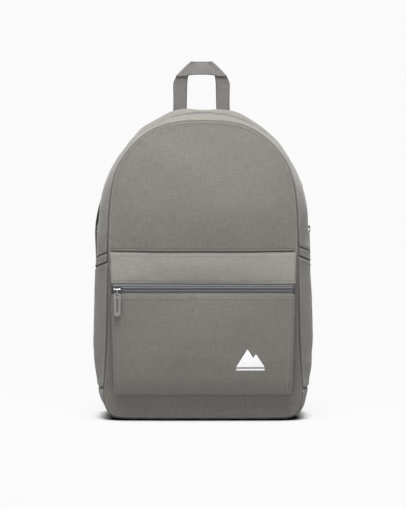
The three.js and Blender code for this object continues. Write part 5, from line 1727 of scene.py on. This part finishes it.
back_face = radial_piece("back_mesh_panel", BACK, (0, 212), back_surf, 3.0, [MESH, LINING], near=(0, .6, 1.3, 2.2, 3.4, 4.8, 6.4, 8.2, 10.5, 13, 16), far=60, pucker=0.0, facing=1, roll_depth=9.0, roll_width=7.0)
# the edge: a binding tape wraps the seam between the gusset and the back
bp = np.column_stack([BACK[:, 0], np.full(len(BACK), BACK_Y + 1.6), BACK[:, 1]])
closed = np.vstack([bp, bp[:1]])
cen = np.array([0.0, 0.0, 212.0])
nrm = closed - cen
nrm[:, 1] = 0
tang = np.gradient(np.vstack([bp[-2:], closed, bp[1:3]]), axis=0)[2:-2]
outw = np.column_stack([tang[:, 2], np.zeros(len(tang)), -tang[:, 0]])
outw /= np.linalg.norm(outw, axis=1, keepdims=True)
if np.sum(outw[10] * nrm[10]) < 0:
    outw = -outw
prof = [(-2.6, -1.2), (-2.7, 0.1), (-2.2, 0.75), (-1.2, 1.05), (0, 1.15), (1.2, 1.05), (2.2, 0.75), (2.7, 0.1), (2.6, -1.2)]
low_path = closed.copy()
low_path[:, 2] = np.maximum(low_path[:, 2], 1.3)
edge_tape = sweep("back_edge_tape", low_path, prof, outw, [BINDING], cap=False)
back = join([back_face, edge_tape], "back_mesh_panel")
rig.replaces(back, "back_panel")
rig.slot(back, "spacer_mesh")
PACK_PIECES.append(back)
for sgn in (-1, 1):
    stitches("pack", low_path + np.array([0, sgn * 1.7, 0]) + outw * 0.85, outw)


# ------------------------------------------------------------------ padded pieces
def pillow(name, C, W, N, half, thick, mats, nu=25, power=2.6, round_ends=(0, 0)):
    """A closed padded strip on structured rows: centre C, width W and normal N per row; slot 0 faces +N, slot 1 -N."""
    C, W, N = [np.array(a, float) for a in (C, W, N)]
    R = len(C)
    half = np.broadcast_to(np.asarray(half, float), (R,))
    thick = np.broadcast_to(np.asarray(thick, float), (R,))
    u = np.sin(np.linspace(-1, 1, nu) * math.pi / 2)
    u = 0.45 * u + 0.55 * np.linspace(-1, 1, nu)
    prof = np.clip(1 - np.abs(u) ** power, 0, 1) ** (1 / 2.2)
    s = np.concatenate([[0], np.cumsum(np.linalg.norm(np.diff(C, axis=0), axis=1))])
    top = C[:, None] + W[:, None] * (u[None, :, None] * half[:, None, None]) + N[:, None] * (prof[None, :, None] * thick[:, None, None] / 2)
    bot = C[:, None] + W[:, None] * (u[None, :, None] * half[:, None, None]) - N[:, None] * (prof[None, :, None] * thick[:, None, None] / 2)
    inner = bot[:, 1:-1]
    T = np.arange(R * nu).reshape(R, nu)
    B = np.full((R, nu), -1)
    B[:, 0], B[:, -1] = T[:, 0], T[:, -1]
    B[:, 1:-1] = R * nu + np.arange(R * (nu - 2)).reshape(R, nu - 2)
    V = np.vstack([top.reshape(-1, 3), inner.reshape(-1, 3)])
    q = lambda G, rev: [[G[i, j], G[i, j + 1], G[i + 1, j + 1], G[i + 1, j]][::(-1 if rev else 1)] for i in range(R - 1) for j in range(nu - 1)]
    ft, fb = q(T, False), q(B, True)
    caps = []
    for r in (0, R - 1):
        for j in range(nu - 1):
            f = [T[r, j], T[r, j + 1], B[r, j + 1], B[r, j]]
            f2 = []
            for v in f:
                if v not in f2:
                    f2.append(v)
            if len(f2) > 2:
                caps.append(f2)
    mi = [0] * len(ft) + [1] * len(fb) + [0] * len(caps)
    wu = u[None, :] * half[:, None]
    wv_t = np.stack([wu, np.broadcast_to(s[:, None], (R, nu))], axis=2)
    WV = np.vstack([wv_t.reshape(-1, 2), wv_t[:, 1:-1].reshape(-1, 2)]) / 1000
    border = np.zeros(len(V))
    border[T[:, 0]] = border[T[:, -1]] = 1
    border[T[0]] = border[T[-1]] = 1
    border[B[0]] = border[B[-1]] = 1
    # the border rows take a seam value of 0.8: painted shade along the pad's edges
    o = mesh_object(name, V, ft + fb + caps, mats, mi, WV, seam=border * 0.8)
    fix_normals(o)
    return o, T, B, border, s, u


def spline_rows(P, n, extra=None):
    """Catmull-Rom through rows, evenly spaced by length; extra columns are carried along."""
    P = np.array(P, float)
    Q = np.vstack([2 * P[0] - P[1], P, 2 * P[-1] - P[-2]])
    out = []
    for i in range(1, len(Q) - 2):
        p0, p1, p2, p3 = Q[i - 1:i + 3]
        for t in np.linspace(0, 1, 12, endpoint=False):
            out.append(0.5 * (2 * p1 + (p2 - p0) * t + (2 * p0 - 5 * p1 + 4 * p2 - p3) * t * t + (3 * p1 - p0 - 3 * p2 + p3) * t ** 3))
    out.append(P[-1])
    out = np.array(out)
    s = np.concatenate([[0], np.cumsum(np.linalg.norm(np.diff(out[:, :3], axis=0), axis=1))])
    t = np.linspace(0, s[-1], n)
    return np.column_stack([np.interp(t, s, out[:, k]) for k in range(out.shape[1])]), t


def edge_binding(name, path, outv, nrm, mats, w=3.6, t=0.55):
    """A tape folded over an edge: a U section that opens inward, carried along the edge."""
    arc = [(t + 0.45 + 0.0, 0)]
    prof = []
    h = 2.5
    for a in np.linspace(-math.pi / 2, math.pi / 2, 9):
        prof.append((h * math.sin(a), 0.9 * math.cos(a) + 0.2))
    prof = [(-h - 0.05, -w)] + prof + [(h + 0.05, -w), (h - t, -w), (h - t, -0.4), (-h + t, -0.4), (-h + t, -w)]
    return sweep(name, path, prof, outv, mats)


STRAP = [[46, 76.4, 396, 29], [47, 92, 402, 30], [50, 110, 398, 31], [58, 124, 380, 32], [76, 131, 346, 33.5], [98, 133, 306, 34.5],
         [115, 132, 268, 35], [123, 129, 232, 34], [126, 124, 198, 31], [127, 118, 168, 26], [127.5, 114, 152, 21]]
SPLAY = {-1: [0, 0, 0, 6, 13, 15.5, 9, 2.5, 0, 0, 0], 1: [0, 0, 0, 0, -1, -2, -2, -1, 0, 0, 0]}


def unit(v):
    v = np.array(v, float)
    return v / np.linalg.norm(v, axis=-1, keepdims=True)


LOCKS = {}
STRAP_OBJ = {}
for side, word in ((-1, "left"), (1, "right")):
    rows = [[side * (x + SPLAY[side][i]), y, z, h] for i, (x, y, z, h) in enumerate(STRAP)]
    F, s = spline_rows(rows, 92)
    C = F[:, :3]
    t = unit(np.gradient(C, axis=0))
    w = np.array([1.0, 0, 0]) - t * t[:, :1]
    w = unit(w)
    n = np.cross(w, t)
    n[n[:, 1] + n[:, 2] < 0] *= -1
    half = F[:, 3].copy()
    d_end = s[-1] - s
    half = half - 9.0 * (1 - np.sqrt(1 - np.clip(1 - d_end / 13, 0, 1) ** 2))
    half = half - 3.0
    thick = 5.0 + 3.0 * smooth((s - 26) / 22)
    thick = thick * (0.35 + 0.65 * np.sqrt(1 - np.clip(1 - d_end / 9, 0, 0.999) ** 2)) * (0.45 + 0.55 * np.sqrt(1 - np.clip(1 - s / 7, 0, 0.999) ** 2))
    o, T, B, border, ss, u = pillow(f"shoulder_strap_{word}", C, w, n, half, thick, [CANVAS_SIDE, MESH], nu=27)
    pin = border.copy()
    inflate(o, pin, pressure=4.0, frames=14, cap=1.7, stiff=14.0, bend=2.0)
    co = co_of(o)
    # one level of subdivision after the filling
    subdivide(o, 1)
    # binding round the edge, on the seam
    P0 = np.vstack([C + w * half[:, None], ])
    P1 = C - w * half[:, None]
    loop = np.vstack([P1, C[-1] + w[-1] * np.linspace(-half[-1], half[-1], 13)[1:-1, None], P0[::-1]])
    outv = np.vstack([-w, np.repeat(t[-1:], 11, axis=0), w[::-1]])
    k0, k1 = len(P1) - 4, len(P1) + 15
    for _ in range(3):
        outv[1:-1] = unit(outv[:-2] + outv[1:-1] + outv[2:])
    nn = np.vstack([n, np.repeat(n[-1:], 11, axis=0), n[::-1]])
    bind = edge_binding(f"bind_{word}", loop, outv, nn, [BINDING_BLACK])
    joined = join([o, bind], f"shoulder_strap_{word}")
    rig.replaces(joined, f"strap_pad_{word}", f"strap_neck_{word}")
    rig.slot(joined, "canvas")
    STRAP_OBJ[word] = joined
    for sg, Pn in ((1, 1), (-1, -1)):
        for q, dirv in ((C + w * (half - 3.0)[:, None], 1), (C - w * (half - 3.0)[:, None], -1)):
            hgt = 2.9
            stitches(f"strap_{word}", (q + n * sg * hgt)[9:-5], n[9:-5] * sg)
    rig.padded(joined, 0.55)
    # lock frame
    end = np.array([side * 127.5, 114.0, 152.0])
    tab_pt = np.array([side * 141.0, REAR_Y + 3.4, 52.0])
    L = unit(tab_pt - end)
    Wd = unit(np.array([1.0, 0, 0]) - L * L[0])
    Nn = unit(np.cross(Wd, L))
    if Nn[1] < 0:
        Nn = -Nn
    bar_at = end + L * 12.2
    X = unit(np.cross(Nn, -L))
    LOCKS[word] = (end, L, Wd, Nn, bar_at, X)


def band_along(name, path2, width, t, fr, mats, smooth_n=4):
    """Webbing of a given width whose side view is path2 (a, b) in the frame's x (a) and z (b)."""
    P = np.array([(a, b) for a, b in path2], float)
    F, s = spline_rows(np.column_stack([P, np.zeros(len(P))]), max(12, int(len(P) * smooth_n)))
    P = F[:, :2]
    d = unit(np.gradient(P, axis=0))
    nrm = np.column_stack([-d[:, 1], d[:, 0]])
    us = np.concatenate([[-1, -0.97], np.linspace(-0.9, 0.9, 9), [0.97, 1]])
    n, m = len(P), len(us)
    rows_t, rows_b = [], []
    for k in range(n):
        for sign, store in ((1, rows_t), (-1, rows_b)):
            edge = np.where(np.abs(us) > 0.95, 0.55, 1.0)
            h = sign * t / 2 * edge
            store.append(np.column_stack([P[k, 0] + nrm[k, 0] * h, us * width / 2, P[k, 1] + nrm[k, 1] * h]))
    top, bot = np.array(rows_t), np.array(rows_b)
    V = np.vstack([top.reshape(-1, 3), bot.reshape(-1, 3)])
    idx = np.arange(n * m).reshape(n, m)
    k = n * m
    f = np.stack([idx[:-1, :-1], idx[:-1, 1:], idx[1:, 1:], idx[1:, :-1]], axis=2).reshape(-1, 4)
    border = np.concatenate([idx[0, :], idx[1:, -1], idx[-1, :-1][::-1], idx[:-1, 0][::-1]])
    rim = [[border[i], border[i + 1], border[i + 1] + k, border[i] + k] for i in range(len(border) - 1)]
    faces = f.tolist() + (f[:, ::-1] + k).tolist() + rim
    wv = np.stack([np.broadcast_to((us * width / 2)[None], (n, m)), np.broadcast_to(s[:, None], (n, m))], axis=2).reshape(-1, 2) / 1000
    W = np.vstack([wv, wv])
    # local (x=a along N, y=width, z=b)
    o = mesh_object(name, V, faces, mats, shift=False, wv=W)
    fix_normals(o)
    place(o, fr)
    return o


for side, word in ((-1, "left"), (1, "right")):
    end, L, Wd, Nn, bar_at, X = LOCKS[word]
    side_fr = Fr(bar_at, Nn, np.cross(-L, Nn), -L)        # x = N, y = width, z = -L
    # keeper: webbing sewn under the pad's end, round the lock's bar
    kp = [(-1.55, 12.5), (-1.6, 6), (-1.75, 2.2), (-1.75, 0.4), (-1.2, -1.35), (0, -1.95), (1.2, -1.35), (1.75, 0.4), (1.75, 2.2), (1.6, 6), (1.55, 12.5)]
    keeper = band_along(f"keeper_loop_{word}", kp, 24, 1.15, side_fr, [WEB25], 5)
    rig.replaces(keeper, f"lock_keeper_{word}")
    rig.slot(keeper, "webbing")
    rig.ride(keeper, f"strap_{word}")
    # ladder lock with curved rails, three bars and a thumb lip
    fl = Fr(bar_at, X, Nn, -L)
    parts = []
    def bar(nm, y0, z0, wy, wz, half_w, rad=0.9):
        return prism(nm, rounded([(y0 - wy / 2, z0 - wz / 2), (y0 + wy / 2, z0 - wz / 2), (y0 + wy / 2, z0 + wz / 2), (y0 - wy / 2, z0 + wz / 2)], rad, 5), -half_w, half_w, "yzx", [PLASTIC])
    for k in (-1, 1):
        rail = rounded([(-1.7, 1.7), (1.5, 1.7), (1.9, -8), (2.4, -20), (3.0, -27.5), (1.6, -29.2), (-0.6, -28.6), (-1.6, -20), (-1.9, -8)], 1.6, 6)
        parts.append(prism(f"rail{k}", rail, k * 15.2 - 1.55, k * 15.2 + 1.55, "yzx", [PLASTIC], None, 0.55, 3))
    parts.append(bar("b0", 0, 0, 2.2, 2.2, 14.2, 1.0))
    parts.append(bar("b1", 0, -12, 2.6, 3.0, 14.2, 1.0))
    parts.append(prism("b2", rounded([(-0.3, -22.6), (1.7, -22.4), (3.2, -27.6), (2.2, -29.1), (0.2, -28.9)], 0.9, 5), -14.2, 14.2, "yzx", [PLASTIC], None, 0.0))
    for q in np.linspace(-9, 9, 7):
        parts.append(prism("g", rounded([(2.1, -24.2), (2.6, -24.2), (3.75, -27.6), (3.2, -27.8)], 0.2, 3), q - 0.5, q + 0.5, "yzx", [PLASTIC]))
    lock = join(parts, f"ladder_lock_body_{word}")
    place(lock, fl)
    weighted(lock)
    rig.replaces(lock, f"ladder_lock_{word}")
    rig.slot(lock, "moulded_lock")
    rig.ride(lock, f"buckle_{word}")
    tail_path = [(-3.1, -23.5), (-3.1, -13), (-2.6, -9.2), (0, -8.4), (2.6, -9.4), (2.6, -14), (0.2, -18), (-1.25, -21.5), (-1.25, -30), (1.5, -36.5), (8.2, -48), (15.4, -62), (22.2, -75)]
    tail_path += [(22.6, -76.2), (24.2, -76.4), (24.0, -74.6), (21.0, -68.5)]
    tail = band_along(f"webbing_tail_band_{word}", tail_path, 23.6, 1.25, side_fr, [WEB25], 7)
    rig.replaces(tail, f"webbing_tail_{word}")
    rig.slot(tail, "webbing")
    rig.ride(tail, f"buckle_{word}")
    for z0 in (-70.2, -72.0):
        a0 = 15.4 + (z0 + 62) * (22.2 - 15.4) / (-75 + 62)
        row = side_fr.at([(a0 - 1.1, q, z0) for q in np.linspace(-10.4, 10.4, 15)])
        nn = -(Nn * 0.9 + (-L) * -0.42)
        stitches(f"buckle_{word}", row, unit(nn), lift=0.0)
    # lower webbing, from the tab up behind the lock
    a = bar_at + L * 24.2 + Nn * -3.1
    b = np.array([side * 138.6, REAR_Y + 6.2, 68.0])
    c = np.array([side * 140.0, REAR_Y + 4.45, 62.0])
    d = np.array([side * 141.4, REAR_Y + 4.45, 47.0])
    path, s = spline_rows([a, (a + b) / 2, b, c, d], 46)
    up = np.array([Nn] * 46)
    k = smooth((s / s[-1] - 0.35) / 0.4)[:, None]
    up = unit(up * (1 - k) + np.array([0, 1.0, 0]) * k)
    us = np.concatenate([[-1, -0.97], np.linspace(-0.9, 0.9, 9), [0.97, 1]]) * 11.8
    prof = [(q, 0.62 if abs(q) < 11.3 else 0.36) for q in us] + [(q, -0.62 if abs(q) < 11.3 else -0.36) for q in us[::-1]]
    # the lower stretch bends between shell and strap, the upper one between strap and lock
    cut = int(np.argmin(np.abs((path - bar_at) @ L - 56.4)))
    at = lambda d: tuple((bar_at + L * d + np.array([0, SY, 0])) / 1000)
    low = sweep(f"lower_webbing_{word}", path[cut:], prof, up[cut:], [WEB25])
    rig.replaces(low, f"strap_webbing_{word}")
    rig.slot(low, "webbing")
    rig.blend(low, "pack", f"strap_{word}", start=at(88.0), end=at(57.6))
    low = sweep(f"lock_webbing_{word}", path[:cut + 1], prof, up[:cut + 1], [WEB25])
    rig.slot(low, "webbing")
    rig.blend(low, f"strap_{word}", f"buckle_{word}", start=at(55.2), end=at(26.0))
    # triangular tab in the lower corner: folded fabric, edge-stitched
    poly = rounded([(side * 147, 36), (side * 149.5, 78), (side * 127, 72), (side * 124, 60)], 3.0, 6)
    if side < 0:
        poly = poly[::-1]
    tabp = prism(f"lower_tab_fabric_{word}", [(p[0], p[1]) for p in poly], REAR_Y + 0.5, REAR_Y + 3.3, "xzy", [CANVAS_SIDE])
    bevel(tabp, 1.0, 4, 30)
    co = co_of(tabp)
    co[:, 1] += SY / 1000
    set_co(tabp, co)
    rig.replaces(tabp, f"lower_tab_{word}")
    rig.slot(tabp, "canvas")
    PACK_PIECES.append(tabp)
    ctr = np.mean(poly, axis=0)
    ring = np.array([ctr + (np.array(p) - ctr) * 0.84 for p in poly] + [ctr + (np.array(poly[0]) - ctr) * 0.84])
    stitches("pack", np.column_stack([ring[:, 0], np.full(len(ring), REAR_Y + 3.25), ring[:, 1]]), np.array([0, 1.0, 0]))
    # two rows of stitching across the webbing's sewn end
    for zz in (49.5, 55.5):
        stitches("pack", np.array([[side * 141 + q, REAR_Y + 5.1, zz] for q in np.linspace(-9.5, 9.5, 12)]), np.array([0, 1.0, 0]))

for word, o in STRAP_OBJ.items():
    sx = -1 if word == "left" else 1
    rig.blend(o, "pack", f"strap_{word}", start=tuple(np.array([sx * 46, 78 + SY, 397.0]) / 1000), end=tuple(np.array([sx * 50, 108 + SY, 399.0]) / 1000))

# back pads
for side, word in ((-1, "left"), (1, "right")):
    n = 76
    z = np.linspace(355, 55, n)
    tt = np.minimum(z - 55, 355 - z)
    half = 46 - 26 * (1 - np.sqrt(1 - np.clip(1 - tt / 26, 0, 0.9995) ** 2))
    C = np.column_stack([np.full(n, side * 58.0), np.full(n, REAR_Y + 1.9), z])
    W = np.tile([1.0, 0, 0], (n, 1))
    N = np.tile([0, 1.0, 0], (n, 1))
    th = 4.6 * (0.3 + 0.7 * np.sqrt(1 - np.clip(1 - tt / 9, 0, 0.999) ** 2))
    o, T, B, border, s, u = pillow(f"back_pad_cushion_{word}", C, W, N, half, th, [MESH, MESH], nu=31)
    pin = border.copy()
    # three level sewn channels hold the fabric down
    for q in (0.26, 0.5, 0.74):
        r = int(round(q * (n - 1)))
        pin[T[r]] = pin[B[r]] = 1
        co = co_of(o)
        co[T[r, 3:-3], 1] -= 0.0016
        set_co(o, co)
    pin[B.ravel()] = np.maximum(pin[B.ravel()], 0.9)
    inflate(o, pin, pressure=5.0, frames=16, cap=4.2, stiff=9.0, bend=0.8)
    subdivide(o, 1)
    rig.replaces(o, f"back_pad_{word}")
    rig.slot(o, "spacer_mesh")
    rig.padded(o, 0.5)
    PACK_PIECES.append(o)
    ang = T[:, 0]
    path = np.vstack([C - W * half[:, None], (C + W * half[:, None])[::-1], (C - W * half[:, None])[:1]])
    outv = np.vstack([-W, W[::-1], -W[:1]])
    tg = np.gradient(path, axis=0)
    o2 = np.column_stack([tg[:, 2], np.zeros(len(tg)), -tg[:, 0]])
    o2 = unit(o2)
    if np.sum(o2[40] * outv[40]) < 0:
        o2 = -o2
    cord = sweep(f"back_pad_piping_{word}", path + np.array([0, -0.4, 0]), [(1.5 * math.cos(a), 1.5 * math.sin(a)) for a in np.linspace(0, math.tau, 10, endpoint=False)], o2, [BINDING_BLACK], cap=False)
    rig.slot(cord, "spacer_mesh")
    PACK_PIECES.append(cord)

# yoke over the strap roots
poly = rounded([(-92, 372), (92, 372), (80, 410), (44, 424), (-44, 424), (-80, 410)], 4.0, 6)
yk = prism("strap_yoke_fabric", poly, REAR_Y + 0.4, REAR_Y + 2.3, "xzy", [CANVAS_SIDE])
bevel(yk, 0.8, 4, 30)
co = co_of(yk)
co[:, 1] += SY / 1000
set_co(yk, co)
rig.replaces(yk, "strap_yoke")
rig.slot(yk, "canvas")
PACK_PIECES.append(yk)
for kk in (0.965, 0.93):
    ring = np.array([(p[0] * kk, 398 + (p[1] - 398) * (1 - (1 - kk) * 2.2)) for p in poly + poly[:1]])
    stitches("pack", np.column_stack([ring[:, 0], np.full(len(ring), REAR_Y + 2.3), ring[:, 1]]), np.array([0, 1.0, 0]))

# ------------------------------------------------------------------ grab handle: one ribbon folded over at both corners
def ribbon_sheet(name, rows, thick, mats, us, wv_rows, close=False):
    """Rows of points across a ribbon (R, m, 3), thickened along the rows' normals."""
    P = np.array(rows, float)
    N = grid_normals(P)
    top, bot = P + N * thick / 2, P - N * thick / 2
    n, m = P.shape[:2]
    idx = np.arange(n * m).reshape(n, m)
    k = n * m
    f = np.stack([idx[:-1, :-1], idx[:-1, 1:], idx[1:, 1:], idx[1:, :-1]], axis=2).reshape(-1, 4)
    border = np.concatenate([idx[0, :], idx[1:, -1], idx[-1, :-1][::-1], idx[:-1, 0][::-1]])
    rim = [[border[i], border[i + 1], border[i + 1] + k, border[i] + k] for i in range(len(border) - 1)]
    W = np.vstack([wv_rows.reshape(-1, 2)] * 2) / 1000
    o = mesh_object(name, np.vstack([top.reshape(-1, 3), bot.reshape(-1, 3)]), f.tolist() + (f[:, ::-1] + k).tolist() + rim, mats, wv=W)
    fix_normals(o)
    return o


def handle_half(side):
    """Leg from the seam up, then over the diagonal fold and along the front band to the middle."""
    us = np.linspace(0, 1, 17)                       # 0 outer selvedge, 1 inner
    rows, wv = [], []
    # leg
    for z in np.linspace(435, 472, 22):
        t = (z - 435) / 37
        xo = 41.0 - 0.3 * math.sin(t * math.pi)
        xi = 21.5 - 0.8 * t
        x = xo + (xi - xo) * us
        y = 61.6 + 0.0 * t + 1.1 * t - 0.9 * np.sin(us * math.pi) * (0.4 + 0.6 * t) * 0.6
        rows.append(np.column_stack([side * x, y, np.full(17, z + 0.0)]))
        wv.append(np.column_stack([(us - 0.5) * 20 * side, np.full(17, z - 435)]))
    # fan towards the fold line
    fold_o, fold_i = np.array([35.8, 486.0]), np.array([14.5, 508.2])
    for t in np.linspace(0, 1, 17)[1:]:
        start_o, start_i = np.array([41.0, 472.0]), np.array([20.7, 472.0])
        knee = np.array([41.4, 480.6])
        po = (1 - t) ** 2 * start_o + 2 * t * (1 - t) * knee + t * t * fold_o
        pi = start_i + (fold_i - start_i) * t
        pi[0] = 20.7 + (fold_i[0] - 20.7) * t ** 1.6
        x = po[0] + (pi[0] - po[0]) * us
        zz = po[1] + (pi[1] - po[1]) * us
        y = np.full(17, 62.7 - 0.3 * t)
        y = y + (60.6 - y) * smooth((t - 0.72) / 0.28) * 0.55
        rows.append(np.column_stack([side * x, y, zz]))
        wv.append(np.column_stack([(us - 0.5) * 20 * side, np.full(17, 39 + 22 * t)]))
    # round the fold and along the band: outer selvedge becomes the lower edge
    y_back, y_front = rows[-1][:, 1], None
    rr = 1.35
    last = rows[-1].copy()
    for a in np.linspace(0, math.pi, 9)[1:]:
        r = last.copy()
        dn = unit(np.array([fold_i[1] - fold_o[1], -(fold_i[0] - fold_o[0])]))  # outward of the diagonal
        fade = 1 - us ** 5
        r[:, 0] += side * dn[0] * math.sin(a) * rr * fade
        r[:, 2] += dn[1] * math.sin(a) * rr * fade
        r[:, 1] = last[:, 1] - rr * (1 - math.cos(a)) * 0.8
        rows.append(r)
        wv.append(np.column_stack([(us - 0.5) * 20 * side, np.full(17, 61 + a)]))
    yb = rows[-1][:, 1].copy()
    for t in np.linspace(0, 1, 26)[1:]:
        x = np.array([fold_o[0] + (fold_i[0] - fold_o[0]) * u_ for u_ in us]) * (1 - t)
        z_lo = 485.0 + 4.2 * math.sin(min(1, t * 1.15) * math.pi / 2)
        z_hi = 508.0
        z0 = fold_o[1] + (fold_i[1] - fold_o[1]) * us
        z1 = z_lo + (z_hi - z_lo) * us
        zz = z0 + (z1 - z0) * smooth(t * 1.6)
        y = yb + 0.9 * (us - 0.5) * smooth(t * 2) - 0.35 * np.sin(us * math.pi) * smooth(t * 2)
        y = y + 1.6 * (us - 0.35) * smooth(t * 2)
        rows.append(np.column_stack([side * x, y, zz]))
        wv.append(np.column_stack([(us - 0.5) * 20 * side, np.full(17, 64 + 22 * t)]))
    return np.array(rows), np.array(wv)


RR, RW = handle_half(1)
LR, LW = handle_half(-1)
LW = LW.copy()
grid = np.vstack([RR, LR[::-1][1:]])
wvs = np.vstack([RW, LW[::-1][1:]])
# keep one direction along the ribbon
along = np.concatenate([[0], np.cumsum(np.linalg.norm(np.diff(grid[:, 8], axis=0), axis=1))])
wvs[:, :, 0] = np.broadcast_to(((np.linspace(0, 1, 17) - 0.5) * 20)[None], wvs.shape[:2])
wvs[:, :, 1] = along[:, None]
HANDLE = ribbed("webbing_handle", (0.165, 0.157, 0.152), half=10.0, pitch=2.0, slope=0.8, edge_dark=0.5, rib_k=0.34)
grid[:, :, 0] -= 2.4
handle = ribbon_sheet("grab_handle_ribbon", grid, 1.3, [HANDLE], None, wvs)
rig.replaces(handle, "grab_handle")
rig.slot(handle, "webbing")
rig.blend(handle, "pack", "handle", start=(0, (HANDLE_Y + SY) / 1000, 0.4355), end=(0, (HANDLE_Y + SY) / 1000, 0.4480))

# ------------------------------------------------------------------ laptop sleeve and its closure strap, seen with the flap open
def sleeve():
    x0, x1, z0, z1 = -122.4, 122.4, 10.6, 295.4
    us = np.concatenate([[0, .5, 1.2, 2.4, 4.5], np.linspace(10, 234.8, 40), [240.3, 242.4, 243.6, 244.3, 244.8]])
    rows = []
    for z in np.concatenate([[z1, z1 - .5, z1 - 1.2, z1 - 2.4, z1 - 5], np.linspace(z1 - 10, z0 + 12, 40), [z0 + 7, z0 + 3, z0 + 1, z0]]):
        x = x0 + us
        d = np.minimum(np.minimum(us, us[-1] - us), z - z0)
        y = 35.2 + 21 * (1 - np.sqrt(np.clip(1 - np.clip(1 - d / 7.0, 0, 1) ** 2, 0, 1)))
        y = y - 0.8 * smooth((z - 200) / 90) * np.cos(x / 122 * math.pi / 2)
        rows.append(np.column_stack([x, np.minimum(y, 56.8), np.full(len(us), z)]))
    return sheet_piece("laptop_sleeve_fabric", np.array(rows), np.array([0, 80.0, 150.0]), [LINING, LINING], "r0", seed=31, thick=2.6, bump=lambda lr, lc, P, near: smooth(near / 20) * 0.7 * field(lr, lc, 90.0, 81, 8))


sl, SLO, SLN = sleeve()
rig.replaces(sl, "laptop_sleeve")
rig.slot(sl, "lining")
PACK_PIECES.append(sl)
stitches("pack", SLO[4, 3:-3], SLN[4, 3:-3])
fr = Fr((0, 0, 0), (0, 1, 0), (1, 0, 0), (0, 0, 1))
cs = band_along("sleeve_closure_band", [(56.7, 339.5), (56.3, 328), (52, 317), (44.5, 303.5), (42, 299.2), (37.5, 298.4), (33.4, 296.8), (32.7, 288), (32.7, 262.5)], 29.4, 1.3, Fr((0, SY, 0), (0, 1, 0), (1, 0, 0), (0, 0, 1)), [WEB25], 7)
co = co_of(cs)
co[:, 1] -= SY / 1000
set_co(cs, co)
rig.replaces(cs, "sleeve_closure_strap")
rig.slot(cs, "webbing")
PACK_PIECES.append(cs)

# ------------------------------------------------------------------ thread, bodies and finish
for key, (verts, faces, count) in STITCHES.items():
    thread = np.vstack(verts)
    thread[:, 2] = np.maximum(thread[:, 2], 0.05)
    o = mesh_object(f"stitching_{key}", thread, np.vstack(faces), [THREAD_AND_HIGHLIGHT], wv=np.zeros((count, 3)))
    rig.slot(o, "canvas")
    if key == "flapblend":
        flap_thread = o
    elif key.startswith(("strap_", "buckle_")):
        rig.ride(o, key)
    else:
        PACK_PIECES.append(o)
for o in PACK_PIECES:
    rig.ride(o, "pack")
for o in (front, front_gusset, zf, flap_thread):
    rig.blend(o, "pack", "flap", start=(0, 0, 0.268), end=(0, 0, 0.302))

new_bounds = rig.bounds()
json.dump({"cad": [list(map(float, c)) for c in cad_bounds], "visual": [list(map(float, c)) for c in new_bounds]}, open("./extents.json", "w"))
